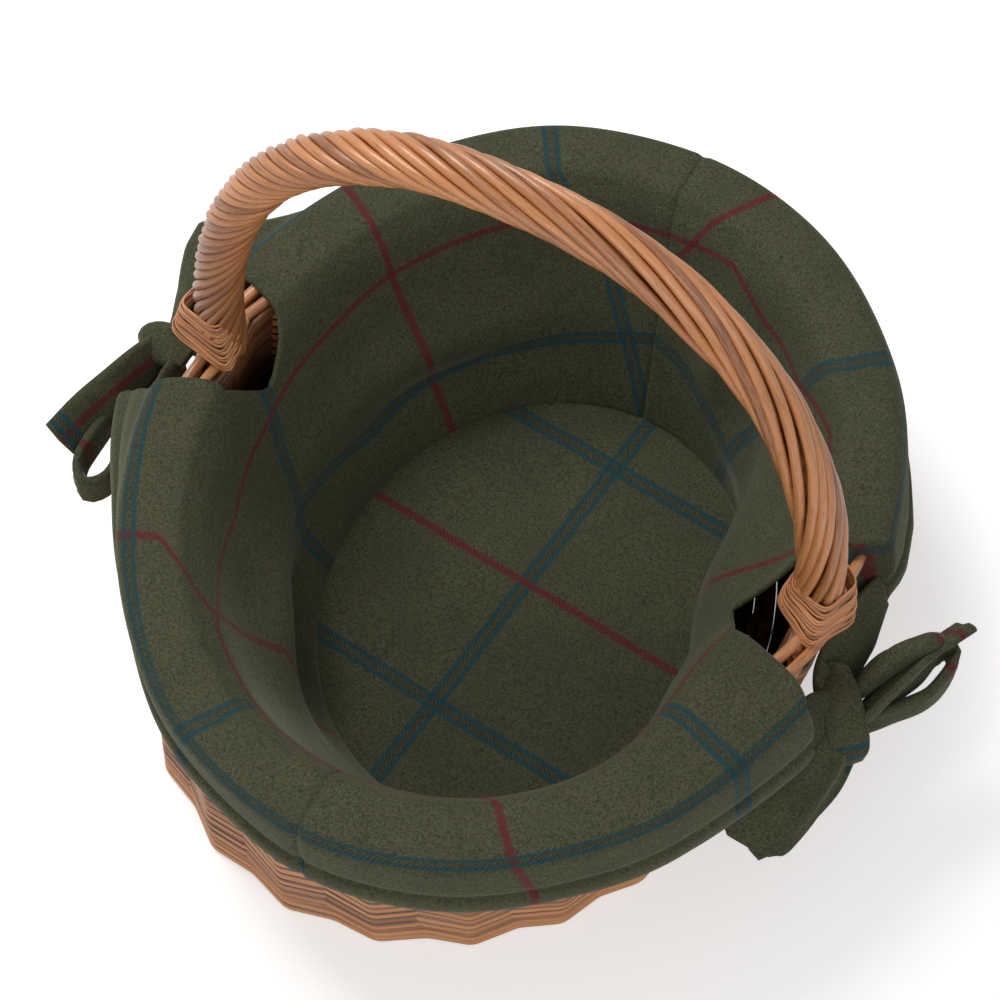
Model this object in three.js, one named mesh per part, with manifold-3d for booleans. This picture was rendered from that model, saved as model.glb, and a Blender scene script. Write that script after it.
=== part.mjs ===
// Oval willow shopping basket with a fixed roped bow handle and a tied cloth lining.
// Millimetres, +Z up. The origin is on the floor under the middle of the basket.
// X runs along the handle, across the short side of the oval. Y runs along the long side.
import * as THREE from 'three';
import { mergeVertices } from 'three/addons/utils/BufferGeometryUtils.js';
import Module from 'manifold-3d';

const wasm = await Module();
wasm.setup();

// Willow wall
const rimLength = 406;
const rimWidth = 344;
const footLength = 385;
const footWidth = 330;
const ridgeCount = 24;
const footRidgeDepth = 5;
const rimRidgeDepth = 9;
const footSway = 18;
const footSwayDegrees = -168;
const wallThickness = 18;
const footRodHeight = 6;
const footRodCount = 3;
const sideRowPitch = 7.2;
const sideCourseRows = [8, 8];
const rowGrooveDepth = 1.6;
const borderWidth = 21;
const borderHeight = 12.2;
const stakeDiameter = 7;
const stakeFootDepth = 10;
const stakeBorderDepth = 6;
const stakeCover = 5.3;

// Base
const baseUnderside = 4;
const baseThickness = 8;
const crossStickCount = 5;
const crossStickPitch = 52;
const crossStickWidth = 11;
const crossStickCover = 1;
const longStickCount = 3;
const longStickPitch = 30;
const longStickWidth = 8;
const longStickCover = 1.7;
const baseSlack = 1.2;
const stickEndInset = 1;

// Handle
const handleFootInset = 13.2;
const handleShoulderRise = 15.4;
const handleArchRise = 210;
const handleRoundness = 2.19;
const handleDiameter = 24.6;
const coreDiameter = 13;
const strandCount = 4;
const strandTurns = 2.5;
const strandGap = 1.9;
const handleSteps = 36;
const strandFootClearance = 1.2;
const legInset = 10;
const legValleyShare = 0.3;

// Wraps at the handle feet
const wrapLoops = 6;
const wrapLoopSteps = 20;
const wrapCaneDiameter = 2.6;
const wrapLoopGap = 0.7;
const wrapDip = 3;
const wrapFootClearance = 5.6;

// Lining
const clothThickness = 2.6;
const hemThickness = 4.6;
const hemHeight = 12;
const cuffStandOffEnds = 10.9;
const cuffStandOffSides = 11.6;
const liningInset = 5.2;
const cuffDrop = 47.6;
const cuffHemFlare = 2.5;
const cuffSlack = 1.4;
const liningBaseMarginEnds = 66.1;
const liningBaseMarginSides = 60.3;
const liningBaseShiftX = 10;
const liningBaseShiftY = 3;
const foldDepth = 4;
const notchWidth = 92;
const notchHemWidth = 26;
const notchDepth = 46.6;
const liningSteps = 48;

// Ties
const tieWidth = 24;
const tailWidth = 21;
const loopStripWidth = 22;
const tieThickness = 2.6;
const knotWidth = 26;
const knotLength = 30;
const knotDepth = 17;
const rightKnotAlong = -28;
const leftKnotAlong = -14;
const knotBelowHem = 10;
const strapLength = 44;
const strapRise = 20;
const loopLength = 60;
const loopOpening = 15;
const loopRootGap = 2.4;
const tailLength = 68;
const bowSpread = 30;
const lobeDrop = 26;
const lobeStandOff = 7.5;

// Fits
const clearance = 0.3;
const cutOverrun = 20;
const joinTolerance = 0.05;

// Heights, from the floor up
const footTop = footRodHeight * footRodCount;
const sideRows = sideCourseRows.reduce((sum, rows) => sum + rows, 0);
const borderBottom = footTop + sideRows * sideRowPitch + (sideCourseRows.length + 1) * clearance;
const rimTop = borderBottom + borderHeight;
const cuffCrestHeight = rimTop + cuffSlack + clothThickness;
const cuffHemHeight = cuffCrestHeight - cuffDrop;
const notchInnerFloor = cuffCrestHeight - notchDepth;
const knotHeight = cuffHemHeight - knotBelowHem;
const handleShoulderHeight = rimTop + handleShoulderRise;

// Widths and lengths that follow others
const cuffLength = rimLength + 2 * cuffStandOffEnds;
const cuffWidth = rimWidth + 2 * cuffStandOffSides;
const liningBaseLength = footLength - 2 * liningBaseMarginEnds;
const liningBaseWidth = footWidth - 2 * liningBaseMarginSides;
const handleSpan = rimWidth - 2 * handleFootInset;
const wrapLoopPitch = wrapCaneDiameter + wrapLoopGap;
const crossStickHeight = baseThickness - 2 * crossStickCover;
const longStickHeight = crossStickHeight - 2 * longStickCover;
const stakeInset = stakeCover + stakeDiameter / 2;
const ringSteps = 2 * ridgeCount;

const willow = { color: 0xa8713f, roughness: 0.45, metalness: 0 };
const darkWillow = { color: 0x8a5a34, roughness: 0.5, metalness: 0 };
const wool = { color: 0x4b5038, roughness: 0.95, metalness: 0 };

const basket = new THREE.Group();

function addPiece(name, geometry, finish) {
  const mesh = new THREE.Mesh(geometry, new THREE.MeshStandardMaterial(finish));
  mesh.name = name;
  basket.add(mesh);
}

// Closed surfaces from rings of points

function signedVolume(points, faces) {
  const cross = new THREE.Vector3();
  let total = 0;
  for (const [a, b, c] of faces) {
    total += points[a].dot(cross.crossVectors(points[b], points[c]));
  }
  return total;
}

function closedSurface(points, faces) {
  const outward = signedVolume(points, faces) > 0 ? faces : faces.map(([a, b, c]) => [a, c, b]);
  const geometry = new THREE.BufferGeometry().setFromPoints(points);
  geometry.setIndex(outward.flat());
  return geometry;
}

function bandFaces(sections, closed) {
  const size = sections[0].length;
  const faces = [];
  const last = closed ? sections.length : sections.length - 1;
  for (let i = 0; i < last; i += 1) {
    const here = i * size;
    const next = ((i + 1) % sections.length) * size;
    for (let j = 0; j < size; j += 1) {
      const k = (j + 1) % size;
      faces.push([here + j, next + j, next + k], [here + j, next + k, here + k]);
    }
  }
  return faces;
}

function closedRing(sections) {
  return closedSurface(sections.flat(), bandFaces(sections, true));
}

function capFaces(outline) {
  const turn = Math.sign(THREE.ShapeUtils.area(outline));
  return THREE.ShapeUtils.triangulateShape(outline, []).map(([a, b, c]) => {
    const area = THREE.ShapeUtils.area([outline[a], outline[b], outline[c]]);
    return Math.sign(area) === turn ? [a, b, c] : [a, c, b];
  });
}

function cappedTube(sections, outline) {
  const faces = bandFaces(sections, false);
  const end = (sections.length - 1) * outline.length;
  for (const [a, b, c] of capFaces(outline)) {
    faces.push([a, b, c], [end + a, end + c, end + b]);
  }
  return closedSurface(sections.flat(), faces);
}

// Joining and cutting

function toSolid(geometry) {
  const bare = geometry.clone();
  bare.deleteAttribute('normal');
  bare.deleteAttribute('uv');
  const merged = mergeVertices(bare);
  return new wasm.Manifold(new wasm.Mesh({
    numProp: 3,
    vertProperties: new Float32Array(merged.attributes.position.array),
    triVerts: new Uint32Array(merged.index.array),
  }));
}

function toGeometry(solid) {
  const mesh = solid.getMesh();
  const geometry = new THREE.BufferGeometry();
  geometry.setAttribute('position', new THREE.BufferAttribute(mesh.vertProperties, 3));
  geometry.setIndex(new THREE.BufferAttribute(mesh.triVerts, 1));
  return geometry;
}

function cutAway(geometry, cutters) {
  let solid = toSolid(geometry);
  for (const cutter of cutters) {
    solid = solid.subtract(toSolid(cutter));
  }
  return toGeometry(solid);
}

function joined(geometries) {
  let solid = toSolid(geometries[0]);
  for (const extra of geometries.slice(1)) {
    solid = solid.add(toSolid(extra));
  }
  return toGeometry(solid.simplify(joinTolerance));
}

// Ovals

const stepAngles = Array.from({ length: ringSteps }, (_, i) => {
  const rim = new THREE.EllipseCurve(0, 0, rimWidth / 2, rimLength / 2);
  return 2 * Math.PI * rim.getUtoTmapping(i / ringSteps);
});

function ovalPoint(angle, halfWidth, halfLength, z) {
  return new THREE.Vector3(halfWidth * Math.cos(angle), halfLength * Math.sin(angle), z);
}

function ovalPrism(halfWidth, halfLength, bottom, top) {
  const outline = stepAngles.map((angle) => ovalPoint(angle, halfWidth, halfLength, 0));
  const shape = new THREE.Shape(outline.map((p) => new THREE.Vector2(p.x, p.y)));
  const geometry = new THREE.ExtrudeGeometry(shape, { depth: top - bottom, bevelEnabled: false });
  geometry.translate(0, 0, bottom);
  return geometry;
}

// The willow wall leans out evenly from the foot to the rim. It is woven by hand, and its foot sways
// to one side of the rim. Even steps round the oval are valleys and odd steps are ridges. The two
// valleys over the handle legs are shallower.

function wallHalfWidth(z) {
  return THREE.MathUtils.lerp(footWidth, rimWidth, z / rimTop) / 2;
}

function wallHalfLength(z) {
  return THREE.MathUtils.lerp(footLength, rimLength, z / rimTop) / 2;
}

function sway(angle, z) {
  const towards = THREE.MathUtils.degToRad(footSwayDegrees);
  return THREE.MathUtils.lerp(footSway, 0, z / rimTop) * Math.cos(angle - towards);
}

function valleyDepth(step, z) {
  const depth = THREE.MathUtils.lerp(footRidgeDepth, rimRidgeDepth, z / rimTop);
  if (step % 2 === 1) {
    return 0;
  }
  return step % (ringSteps / 2) === 0 ? legValleyShare * depth : depth;
}

function wallPoint(step, inset, z) {
  const angle = stepAngles[step];
  const grown = sway(angle, z) - inset;
  return ovalPoint(angle, wallHalfWidth(z) + grown, wallHalfLength(z) + grown, z);
}

function wovenCourse(bottom, rowHeight, rows) {
  return closedRing(stepAngles.map((_, step) => {
    const section = [];
    for (let level = 0; level <= 2 * rows; level += 1) {
      const z = bottom + level * rowHeight / 2;
      const groove = level % 2 === 0 ? rowGrooveDepth : 0;
      section.push(wallPoint(step, valleyDepth(step, z) + groove, z));
    }
    section.push(wallPoint(step, wallThickness, bottom + rows * rowHeight));
    section.push(wallPoint(step, wallThickness, bottom));
    return section;
  }));
}

function rodBetween(start, end, diameter, sides) {
  const along = new THREE.Vector3().subVectors(end, start);
  const rod = new THREE.CylinderGeometry(diameter / 2, diameter / 2, along.length(), sides);
  rod.applyQuaternion(new THREE.Quaternion().setFromUnitVectors(
    new THREE.Vector3(0, 1, 0),
    along.clone().normalize(),
  ));
  const middle = new THREE.Vector3().addVectors(start, end).divideScalar(2);
  rod.translate(middle.x, middle.y, middle.z);
  return rod;
}

const stakeSides = 6;

function stakeRod(ridge, growth, diameter, sides) {
  const step = 2 * ridge + 1;
  const start = wallPoint(step, stakeInset, footTop - stakeFootDepth - growth);
  const end = wallPoint(step, stakeInset, borderBottom + stakeBorderDepth + growth);
  return rodBetween(start, end, diameter, sides);
}

function sideStake(ridge) {
  return stakeRod(ridge, 0, stakeDiameter, stakeSides);
}

// The way that the weave leaves round a stake is square, and just wider than the stake.
function stakeWay(ridge) {
  return stakeRod(ridge, clearance, (stakeDiameter + 2 * clearance) * Math.SQRT2, 4);
}

const borderSides = 8;

function rimBorder() {
  const middle = borderBottom + borderHeight / 2;
  const corners = roundOutline(2 / Math.cos(Math.PI / borderSides), borderSides);
  return closedRing(stepAngles.map((angle) => corners.map((corner) => {
    const inset = (1 + corner.x) * borderWidth / 2;
    const z = middle + corner.y * borderHeight / 2;
    return ovalPoint(angle, rimWidth / 2 - inset, rimLength / 2 - inset, z);
  })));
}

// Handle. Its centreline runs up one leg inside the weave, over a rounded arch and down again.

const strandFoot = rimTop + strandFootClearance;

// How far the wall reaches along X on one side, at a valley over a handle leg.
function wallReach(side, z) {
  return wallHalfWidth(z) + sway(side > 0 ? 0 : Math.PI, z);
}

function legPoint(side, z) {
  return new THREE.Vector3(side * (wallReach(side, z) - valleyDepth(0, z) - legInset), 0, z);
}

function archPoint(share) {
  const angle = Math.PI * (1 - share);
  const round = 2 / handleRoundness;
  const x = Math.sign(Math.cos(angle)) * Math.abs(Math.cos(angle)) ** round;
  const rise = Math.abs(Math.sin(angle)) ** round;
  return new THREE.Vector3(
    x * handleSpan / 2,
    0,
    handleShoulderHeight + rise * handleArchRise,
  );
}

class ArchCurve extends THREE.Curve {
  getPoint(share, target = new THREE.Vector3()) {
    return target.copy(archPoint(share));
  }
}

const arch = new ArchCurve();
arch.arcLengthDivisions = 800;

function handleStations(footHeight) {
  const left = new THREE.Vector3(-handleSpan / 2, 0, footHeight);
  const right = new THREE.Vector3(handleSpan / 2, 0, footHeight);
  const stations = [left];
  for (let i = 0; i <= handleSteps; i += 1) {
    stations.push(arch.getPointAt(i / handleSteps));
  }
  stations.push(right);
  return stations;
}

function stationFrames(points) {
  return points.map((point, i) => {
    const before = points[Math.max(i - 1, 0)];
    const after = points[Math.min(i + 1, points.length - 1)];
    const tangent = new THREE.Vector3().subVectors(after, before).normalize();
    const across = new THREE.Vector3(0, 1, 0);
    const outward = new THREE.Vector3().crossVectors(tangent, across).normalize();
    return { point, across, outward };
  });
}

function sweep(frames, outline, twists) {
  const sections = frames.map(({ point, across, outward }, i) => outline.map((corner) => {
    const turned = corner.clone().rotateAround(new THREE.Vector2(), twists[i]);
    return point.clone().addScaledVector(across, turned.x).addScaledVector(outward, turned.y);
  }));
  return cappedTube(sections, outline);
}

function roundOutline(diameter, sides) {
  return Array.from({ length: sides }, (_, i) => {
    const angle = 2 * Math.PI * (i + 0.5) / sides;
    return new THREE.Vector2(Math.cos(angle), Math.sin(angle)).multiplyScalar(diameter / 2);
  });
}

const coreSides = 6;

function handleCore(growth) {
  const legHeights = [footTop + clearance - growth, borderBottom];
  const leftLeg = legHeights.map((z) => legPoint(-1, z));
  const rightLeg = legHeights.map((z) => legPoint(1, z)).reverse();
  const points = [...leftLeg, ...handleStations(strandFoot), ...rightLeg];
  const outline = roundOutline(coreDiameter + 2 * growth, coreSides);
  return sweep(stationFrames(points), outline, points.map(() => 0));
}

const strandInnerPoints = 4;
const strandOuterPoints = 5;

function strandOutline() {
  const inner = coreDiameter / 2 + 3 * clearance;
  const outer = handleDiameter / 2;
  const sector = 2 * Math.PI / strandCount;
  const arcPoints = (radius, count) => Array.from({ length: count }, (_, i) => {
    const gap = strandGap / 2 / radius;
    const angle = THREE.MathUtils.lerp(gap, sector - gap, i / (count - 1));
    return new THREE.Vector2(Math.cos(angle), Math.sin(angle)).multiplyScalar(radius);
  });
  return [...arcPoints(outer, strandOuterPoints), ...arcPoints(inner, strandInnerPoints).reverse()];
}

function handleStrand(index) {
  const points = handleStations(strandFoot);
  let length = 0;
  const lengths = points.map((point, i) => {
    length += i === 0 ? 0 : point.distanceTo(points[i - 1]);
    return length;
  });
  const start = 2 * Math.PI * index / strandCount;
  const twists = lengths.map((along) => start + 2 * Math.PI * strandTurns * along / length);
  return sweep(stationFrames(points), strandOutline(), twists);
}

// Each wrap is one cane wound round a handle foot. Its loops dip towards the outside.

const caneSides = 5;

function wrapPoint(side, turn) {
  const radius = handleDiameter / 2 + wrapCaneDiameter / 2 + 2 * clearance;
  const angle = 2 * Math.PI * turn;
  return new THREE.Vector3(
    side * (handleSpan / 2 + radius * Math.cos(angle)),
    radius * Math.sin(angle),
    strandFoot + wrapFootClearance + wrapLoopPitch * turn - wrapDip * Math.cos(angle),
  );
}

function caneWrap(side) {
  const steps = wrapLoops * wrapLoopSteps;
  const points = Array.from({ length: steps + 1 }, (_, i) => wrapPoint(side, i / wrapLoopSteps));
  const sections = points.map((point, i) => {
    const before = points[Math.max(i - 1, 0)];
    const after = points[Math.min(i + 1, steps)];
    const tangent = new THREE.Vector3().subVectors(after, before).normalize();
    const outward = new THREE.Vector3(point.x - side * handleSpan / 2, point.y, 0).normalize();
    const upward = new THREE.Vector3().crossVectors(tangent, outward).normalize();
    const flat = new THREE.Vector3().crossVectors(upward, tangent).normalize();
    return roundOutline(wrapCaneDiameter, caneSides).map((corner) => point.clone()
      .addScaledVector(flat, corner.x)
      .addScaledVector(upward, corner.y));
  });
  return cappedTube(sections, roundOutline(wrapCaneDiameter, caneSides));
}

function leastWrapGap(side) {
  const steps = wrapLoops * wrapLoopSteps;
  const points = Array.from({ length: steps + 1 }, (_, i) => wrapPoint(side, i / wrapLoopSteps));
  const apart = wrapLoopSteps / 2;
  let least = Infinity;
  points.forEach((point, i) => {
    for (let j = i + apart; j <= steps; j += 1) {
      least = Math.min(least, point.distanceTo(points[j]) - wrapCaneDiameter);
    }
  });
  return least;
}

// Lining. The visible face of a side panel is a run of ovals from the base seam up the inside,
// over the rim and down the cuff to the hem. Its back lies one cloth thickness behind it.

const liningFloor = baseUnderside + baseThickness + clearance;
const baseSeamHeight = liningFloor + clothThickness + clearance;
const wallShares = [0, 0.14, 0.35, 0.6, 0.84];
const rollInwardShares = [1, 0.86, 0.5, 0.16, 0.04];
const rollDropShares = [2.7, 0.3, 0, 0.5, 3];

const rollHalfWidth = rimWidth / 2 - borderWidth - liningInset;
const rollHalfLength = rimLength / 2 - borderWidth - liningInset;

// A station on the cuff lies a share of the way in from its widest oval to the inside of the rim.
function cuffStation(inwardShare, flare, z, thickness) {
  return {
    halfWidth: THREE.MathUtils.lerp(cuffWidth / 2, rollHalfWidth, inwardShare) + flare,
    halfLength: THREE.MathUtils.lerp(cuffLength / 2, rollHalfLength, inwardShare) + flare,
    z,
    shift: 0,
    fold: 0,
    thickness,
  };
}

// A station on the bag wall lies a share of the way from the base seam to the inside of the rim.
function wallStation(share) {
  return {
    halfWidth: THREE.MathUtils.lerp(liningBaseWidth / 2 + clearance, rollHalfWidth, share),
    halfLength: THREE.MathUtils.lerp(liningBaseLength / 2 + clearance, rollHalfLength, share),
    z: THREE.MathUtils.lerp(baseSeamHeight, cuffCrestHeight, share),
    shift: 1 - share,
    fold: Math.sin(Math.PI * share),
    thickness: clothThickness,
  };
}

function liningStations() {
  const hemTop = cuffHemHeight + hemHeight;
  return [
    ...wallShares.map(wallStation),
    ...rollInwardShares.map((inwardShare, i) => {
      const z = cuffCrestHeight - rollDropShares[i] * clothThickness;
      return cuffStation(inwardShare, 0, z, clothThickness);
    }),
    cuffStation(0, 0, (cuffCrestHeight + hemTop) / 2, clothThickness),
    cuffStation(0, cuffHemFlare, hemTop, hemThickness),
    cuffStation(0, cuffHemFlare, cuffHemHeight, hemThickness),
  ];
}

const foldWaves = [{ waves: 5, phase: 0.6, share: 0.6 }, { waves: 8, phase: 2.1, share: 0.4 }];

function foldOffset(angle) {
  return foldDepth * foldWaves.reduce(
    (sum, wave) => sum + wave.share * Math.sin(wave.waves * angle + wave.phase),
    0,
  );
}

function liningRing() {
  const stations = liningStations();
  const face = Array.from({ length: liningSteps }, (_, i) => {
    const angle = 2 * Math.PI * i / liningSteps;
    return stations.map((station) => {
      const fold = station.fold * foldOffset(angle);
      const point = ovalPoint(angle, station.halfWidth + fold, station.halfLength + fold, station.z);
      point.x += station.shift * liningBaseShiftX;
      point.y += station.shift * liningBaseShiftY;
      return point;
    });
  });
  const sections = face.map((column, i) => {
    const left = face[(i + liningSteps - 1) % liningSteps];
    const right = face[(i + 1) % liningSteps];
    const back = column.map((point, j) => {
      const around = new THREE.Vector3().subVectors(right[j], left[j]);
      const below = column[Math.max(j - 1, 0)];
      const above = column[Math.min(j + 1, column.length - 1)];
      const upward = new THREE.Vector3().subVectors(above, below);
      const behind = new THREE.Vector3().crossVectors(around, upward).normalize();
      return point.clone().addScaledVector(behind, stations[j].thickness);
    });
    return [...column, ...back.reverse()];
  });
  return closedRing(sections);
}

function elevationCutter(outline, fromX, toX) {
  const shape = new THREE.Shape(outline.map(([y, z]) => new THREE.Vector2(y, z)));
  const geometry = new THREE.ExtrudeGeometry(shape, { depth: toX - fromX, bevelEnabled: false });
  geometry.applyMatrix4(new THREE.Matrix4().makeBasis(
    new THREE.Vector3(0, 1, 0),
    new THREE.Vector3(0, 0, 1),
    new THREE.Vector3(1, 0, 0),
  ));
  geometry.translate(fromX, 0, 0);
  return geometry;
}

// The inside of the notch is a V, and the outside keeps a slit down to the hem.
const notchDivide = cuffWidth / 2 - cuffSlack - 2 * clothThickness;
const notchTop = cuffCrestHeight + cutOverrun;

function handleNotch(side) {
  const half = notchWidth / 2;
  const hemHalf = notchHemWidth / 2;
  const mouth = cuffCrestHeight - clothThickness;
  const below = cuffHemHeight - cutOverrun;
  const rightEdge = [[half, mouth], [half, notchTop]];
  const leftEdge = [[-half, notchTop], [-half, mouth]];
  const innerOutline = [[0, notchInnerFloor], ...rightEdge, ...leftEdge];
  const slitRight = [[hemHalf, below], [hemHalf, cuffHemHeight]];
  const slitLeft = [[-hemHalf, cuffHemHeight], [-hemHalf, below]];
  const outerOutline = [...slitRight, ...rightEdge, ...leftEdge, ...slitLeft];
  const inner = elevationCutter(innerOutline, liningBaseWidth / 2, notchDivide + clearance);
  const outer = elevationCutter(outerOutline, notchDivide, cuffWidth / 2 + cutOverrun);
  return [inner, outer].map((cutter) => (side > 0 ? cutter : cutter.rotateZ(Math.PI)));
}

function liningSide(side) {
  const reachX = cuffWidth / 2 + cutOverrun;
  const reachY = cuffLength / 2 + cutOverrun;
  const height = cuffCrestHeight + cutOverrun;
  const otherHalf = new THREE.BoxGeometry(reachX + clearance / 2, 2 * reachY, 2 * height);
  otherHalf.translate(-side * (reachX - clearance / 2) / 2, 0, 0);
  return cutAway(liningRing(), [otherHalf, ...handleNotch(side)]);
}

function liningBasePanel() {
  const panel = ovalPrism(
    liningBaseWidth / 2 - clearance,
    liningBaseLength / 2 - clearance,
    liningFloor,
    liningFloor + clothThickness,
  );
  panel.translate(liningBaseShiftX, liningBaseShiftY, 0);
  return panel;
}

// Base. Cross sticks are pierced by the long sticks, and both lie inside the woven disc.

const baseMiddle = baseUnderside + baseThickness / 2;
const baseTop = baseUnderside + baseThickness;
const baseInset = wallThickness + baseSlack;
const baseHalfWidth = Math.min(wallHalfWidth(baseUnderside), wallHalfWidth(baseTop)) - baseInset;
const baseHalfLength = Math.min(wallHalfLength(baseUnderside), wallHalfLength(baseTop)) - baseInset;

const baseShift = new THREE.Vector3(sway(0, baseMiddle), sway(Math.PI / 2, baseMiddle), 0);

function onBase(geometry) {
  return geometry.translate(baseShift.x, baseShift.y, 0);
}

function baseDisc() {
  return onBase(ovalPrism(baseHalfWidth, baseHalfLength, baseUnderside, baseTop));
}

function halfChord(offset, crossHalf, alongHalf) {
  return alongHalf * Math.sqrt(1 - (offset / crossHalf) ** 2);
}

function crossStick(index, growth, overrun) {
  const y = (index - (crossStickCount - 1) / 2) * crossStickPitch;
  const reach = halfChord(Math.abs(y) + crossStickWidth / 2, baseHalfLength, baseHalfWidth);
  const length = 2 * (reach - stickEndInset + overrun);
  const grown = 2 * growth;
  const stick = new THREE.BoxGeometry(length, crossStickWidth + grown, crossStickHeight + grown);
  return onBase(stick.translate(0, y, baseMiddle));
}

function longStick(index, growth, overrun) {
  const x = (index - (longStickCount - 1) / 2) * longStickPitch;
  const reach = halfChord(Math.abs(x) + longStickWidth / 2, baseHalfWidth, baseHalfLength);
  const length = 2 * (reach - stickEndInset + overrun);
  const grown = 2 * growth;
  const stick = new THREE.BoxGeometry(longStickWidth + grown, length, longStickHeight + grown);
  return onBase(stick.translate(x, 0, baseMiddle));
}

function longSticks(growth, overrun) {
  return Array.from({ length: longStickCount }, (_, i) => longStick(i, growth, overrun));
}

function baseSticks(growth, overrun) {
  const across = Array.from({ length: crossStickCount }, (_, i) => crossStick(i, growth, overrun));
  return [...across, ...longSticks(growth, overrun)];
}

// Ties. The two ties of an end hang outside the cuff. The back tie lies nearest the cuff, and the
// front tie makes the knot in front of it.

const tieLayer = cuffWidth / 2 + cuffHemFlare + 2 * clearance;

function stripOutline(width) {
  return [[-1, -1], [1, -1], [1, 1], [-1, 1]].map(
    ([u, v]) => new THREE.Vector2(u * width / 2, v * tieThickness / 2),
  );
}

// A strip keeps its flat face towards the basket.
function strip(points, width) {
  const outline = stripOutline(width);
  const sections = points.map((point, i) => {
    const before = points[Math.max(i - 1, 0)];
    const after = points[Math.min(i + 1, points.length - 1)];
    const tangent = new THREE.Vector3().subVectors(after, before).normalize();
    const face = new THREE.Vector3(1, 0, 0);
    const across = new THREE.Vector3().crossVectors(tangent, face).normalize();
    const normal = new THREE.Vector3().crossVectors(across, tangent).normalize();
    return outline.map((corner) => point.clone()
      .addScaledVector(across, corner.x)
      .addScaledVector(normal, corner.y));
  });
  return cappedTube(sections, outline);
}

const loopSteps = 14;

function tieLoop(root, tip, width) {
  const along = new THREE.Vector3().subVectors(tip, root);
  const opening = new THREE.Vector3().crossVectors(along, new THREE.Vector3(0, 0, 1)).normalize();
  const across = new THREE.Vector3().crossVectors(opening, along).normalize();
  const loopPoint = (i) => {
    const angle = Math.PI * (2 * i + 1) / loopSteps;
    const reach = (1 - Math.cos(angle)) / 2;
    const bulge = Math.sin(angle) * (loopRootGap + Math.sin(angle / 2) ** 2 * loopOpening / 2);
    return root.clone().addScaledVector(along, reach).addScaledVector(opening, bulge);
  };
  const sections = Array.from({ length: loopSteps }, (_, i) => {
    const tangent = new THREE.Vector3().subVectors(loopPoint(i + 0.5), loopPoint(i - 0.5));
    const normal = new THREE.Vector3().crossVectors(across, tangent.normalize()).normalize();
    return stripOutline(width).map((corner) => loopPoint(i)
      .addScaledVector(across, corner.x)
      .addScaledVector(normal, corner.y));
  });
  return closedRing(sections);
}

function tiePoint(along, outward, z) {
  return new THREE.Vector3(tieLayer + outward, along, z);
}

const firstLayer = tieThickness / 2;
const knotLayer = tieThickness + 2 * clearance + knotDepth / 2;

function knot(along) {
  const ball = new THREE.SphereGeometry(1, 10, 6);
  ball.scale(knotDepth / 2, knotWidth / 2, knotLength / 2);
  const centre = tiePoint(along, knotLayer, knotHeight);
  ball.translate(centre.x, centre.y, centre.z);
  return ball;
}

function backTie(along) {
  const besideKnot = along + knotWidth / 2;
  const tailLayer = firstLayer + tieThickness / 2;
  const strap = strip([
    tiePoint(along + strapLength, firstLayer, knotHeight + strapRise),
    tiePoint(besideKnot, firstLayer, knotHeight),
    tiePoint(along - tieThickness, firstLayer, knotHeight),
  ], tieWidth);
  const loop = tieLoop(
    tiePoint(besideKnot, tailLayer + tieThickness / 2 + loopRootGap, knotHeight),
    tiePoint(besideKnot + loopLength, bowSpread, knotHeight - tieWidth / 2),
    loopStripWidth,
  );
  const tail = strip([
    tiePoint(along + knotWidth / 4, tailLayer, knotHeight),
    tiePoint(besideKnot, tailLayer, knotHeight),
    tiePoint(besideKnot + tailLength / 2, bowSpread / 2, knotHeight + tieWidth / 3),
    tiePoint(besideKnot + tailLength, bowSpread, knotHeight + tieWidth / 2),
  ], tailWidth);
  return joined([strap, loop, tail]);
}

function frontTie(along, side) {
  const lobeHeight = knotHeight - lobeDrop;
  const tailHeight = lobeHeight - tieWidth / 2;
  const lobeOut = Math.max(wallReach(side, lobeHeight), wallHalfWidth(lobeHeight)) + lobeStandOff;
  const tailOut = Math.max(wallReach(side, tailHeight), wallHalfWidth(tailHeight)) + 2 * lobeStandOff;
  const strap = strip([
    tiePoint(along - knotWidth / 2, 2 * tieThickness, knotHeight + strapRise),
    tiePoint(along, knotLayer, knotHeight),
  ], tieWidth);
  const loop = tieLoop(
    tiePoint(along, knotLayer, knotHeight),
    new THREE.Vector3(lobeOut, along - loopLength, lobeHeight),
    loopStripWidth,
  );
  const tail = strip([
    tiePoint(along, knotLayer, knotHeight),
    tiePoint(along - tailLength / 2, knotLayer / 2, lobeHeight),
    new THREE.Vector3(tailOut, along - tailLength, tailHeight),
  ], tailWidth);
  return joined([knot(along), strap, loop, tail]);
}

const ends = [
  { name: 'left', side: -1, knotAlong: leftKnotAlong },
  { name: 'right', side: 1, knotAlong: rightKnotAlong },
];

// Assembly

const stakeCutters = [];
for (let ridge = 0; ridge < ridgeCount; ridge += 1) {
  stakeCutters.push(stakeWay(ridge));
}
const coreCutter = handleCore(clearance);

function threaded(geometry) {
  return cutAway(geometry, [...stakeCutters, coreCutter]);
}

addPiece('foot_wale', threaded(wovenCourse(0, footRodHeight, footRodCount)), willow);
let courseBottom = footTop + clearance;
const courseNames = ['side_weave_lower', 'side_weave_upper'];
sideCourseRows.forEach((rows, i) => {
  addPiece(courseNames[i], threaded(wovenCourse(courseBottom, sideRowPitch, rows)), willow);
  courseBottom += rows * sideRowPitch + clearance;
});

addPiece('rim_border', threaded(rimBorder()), willow);

for (let ridge = 0; ridge < ridgeCount; ridge += 1) {
  const number = String(ridge + 1).padStart(2, '0');
  addPiece(`side_stake_${number}`, sideStake(ridge), darkWillow);
}

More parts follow.
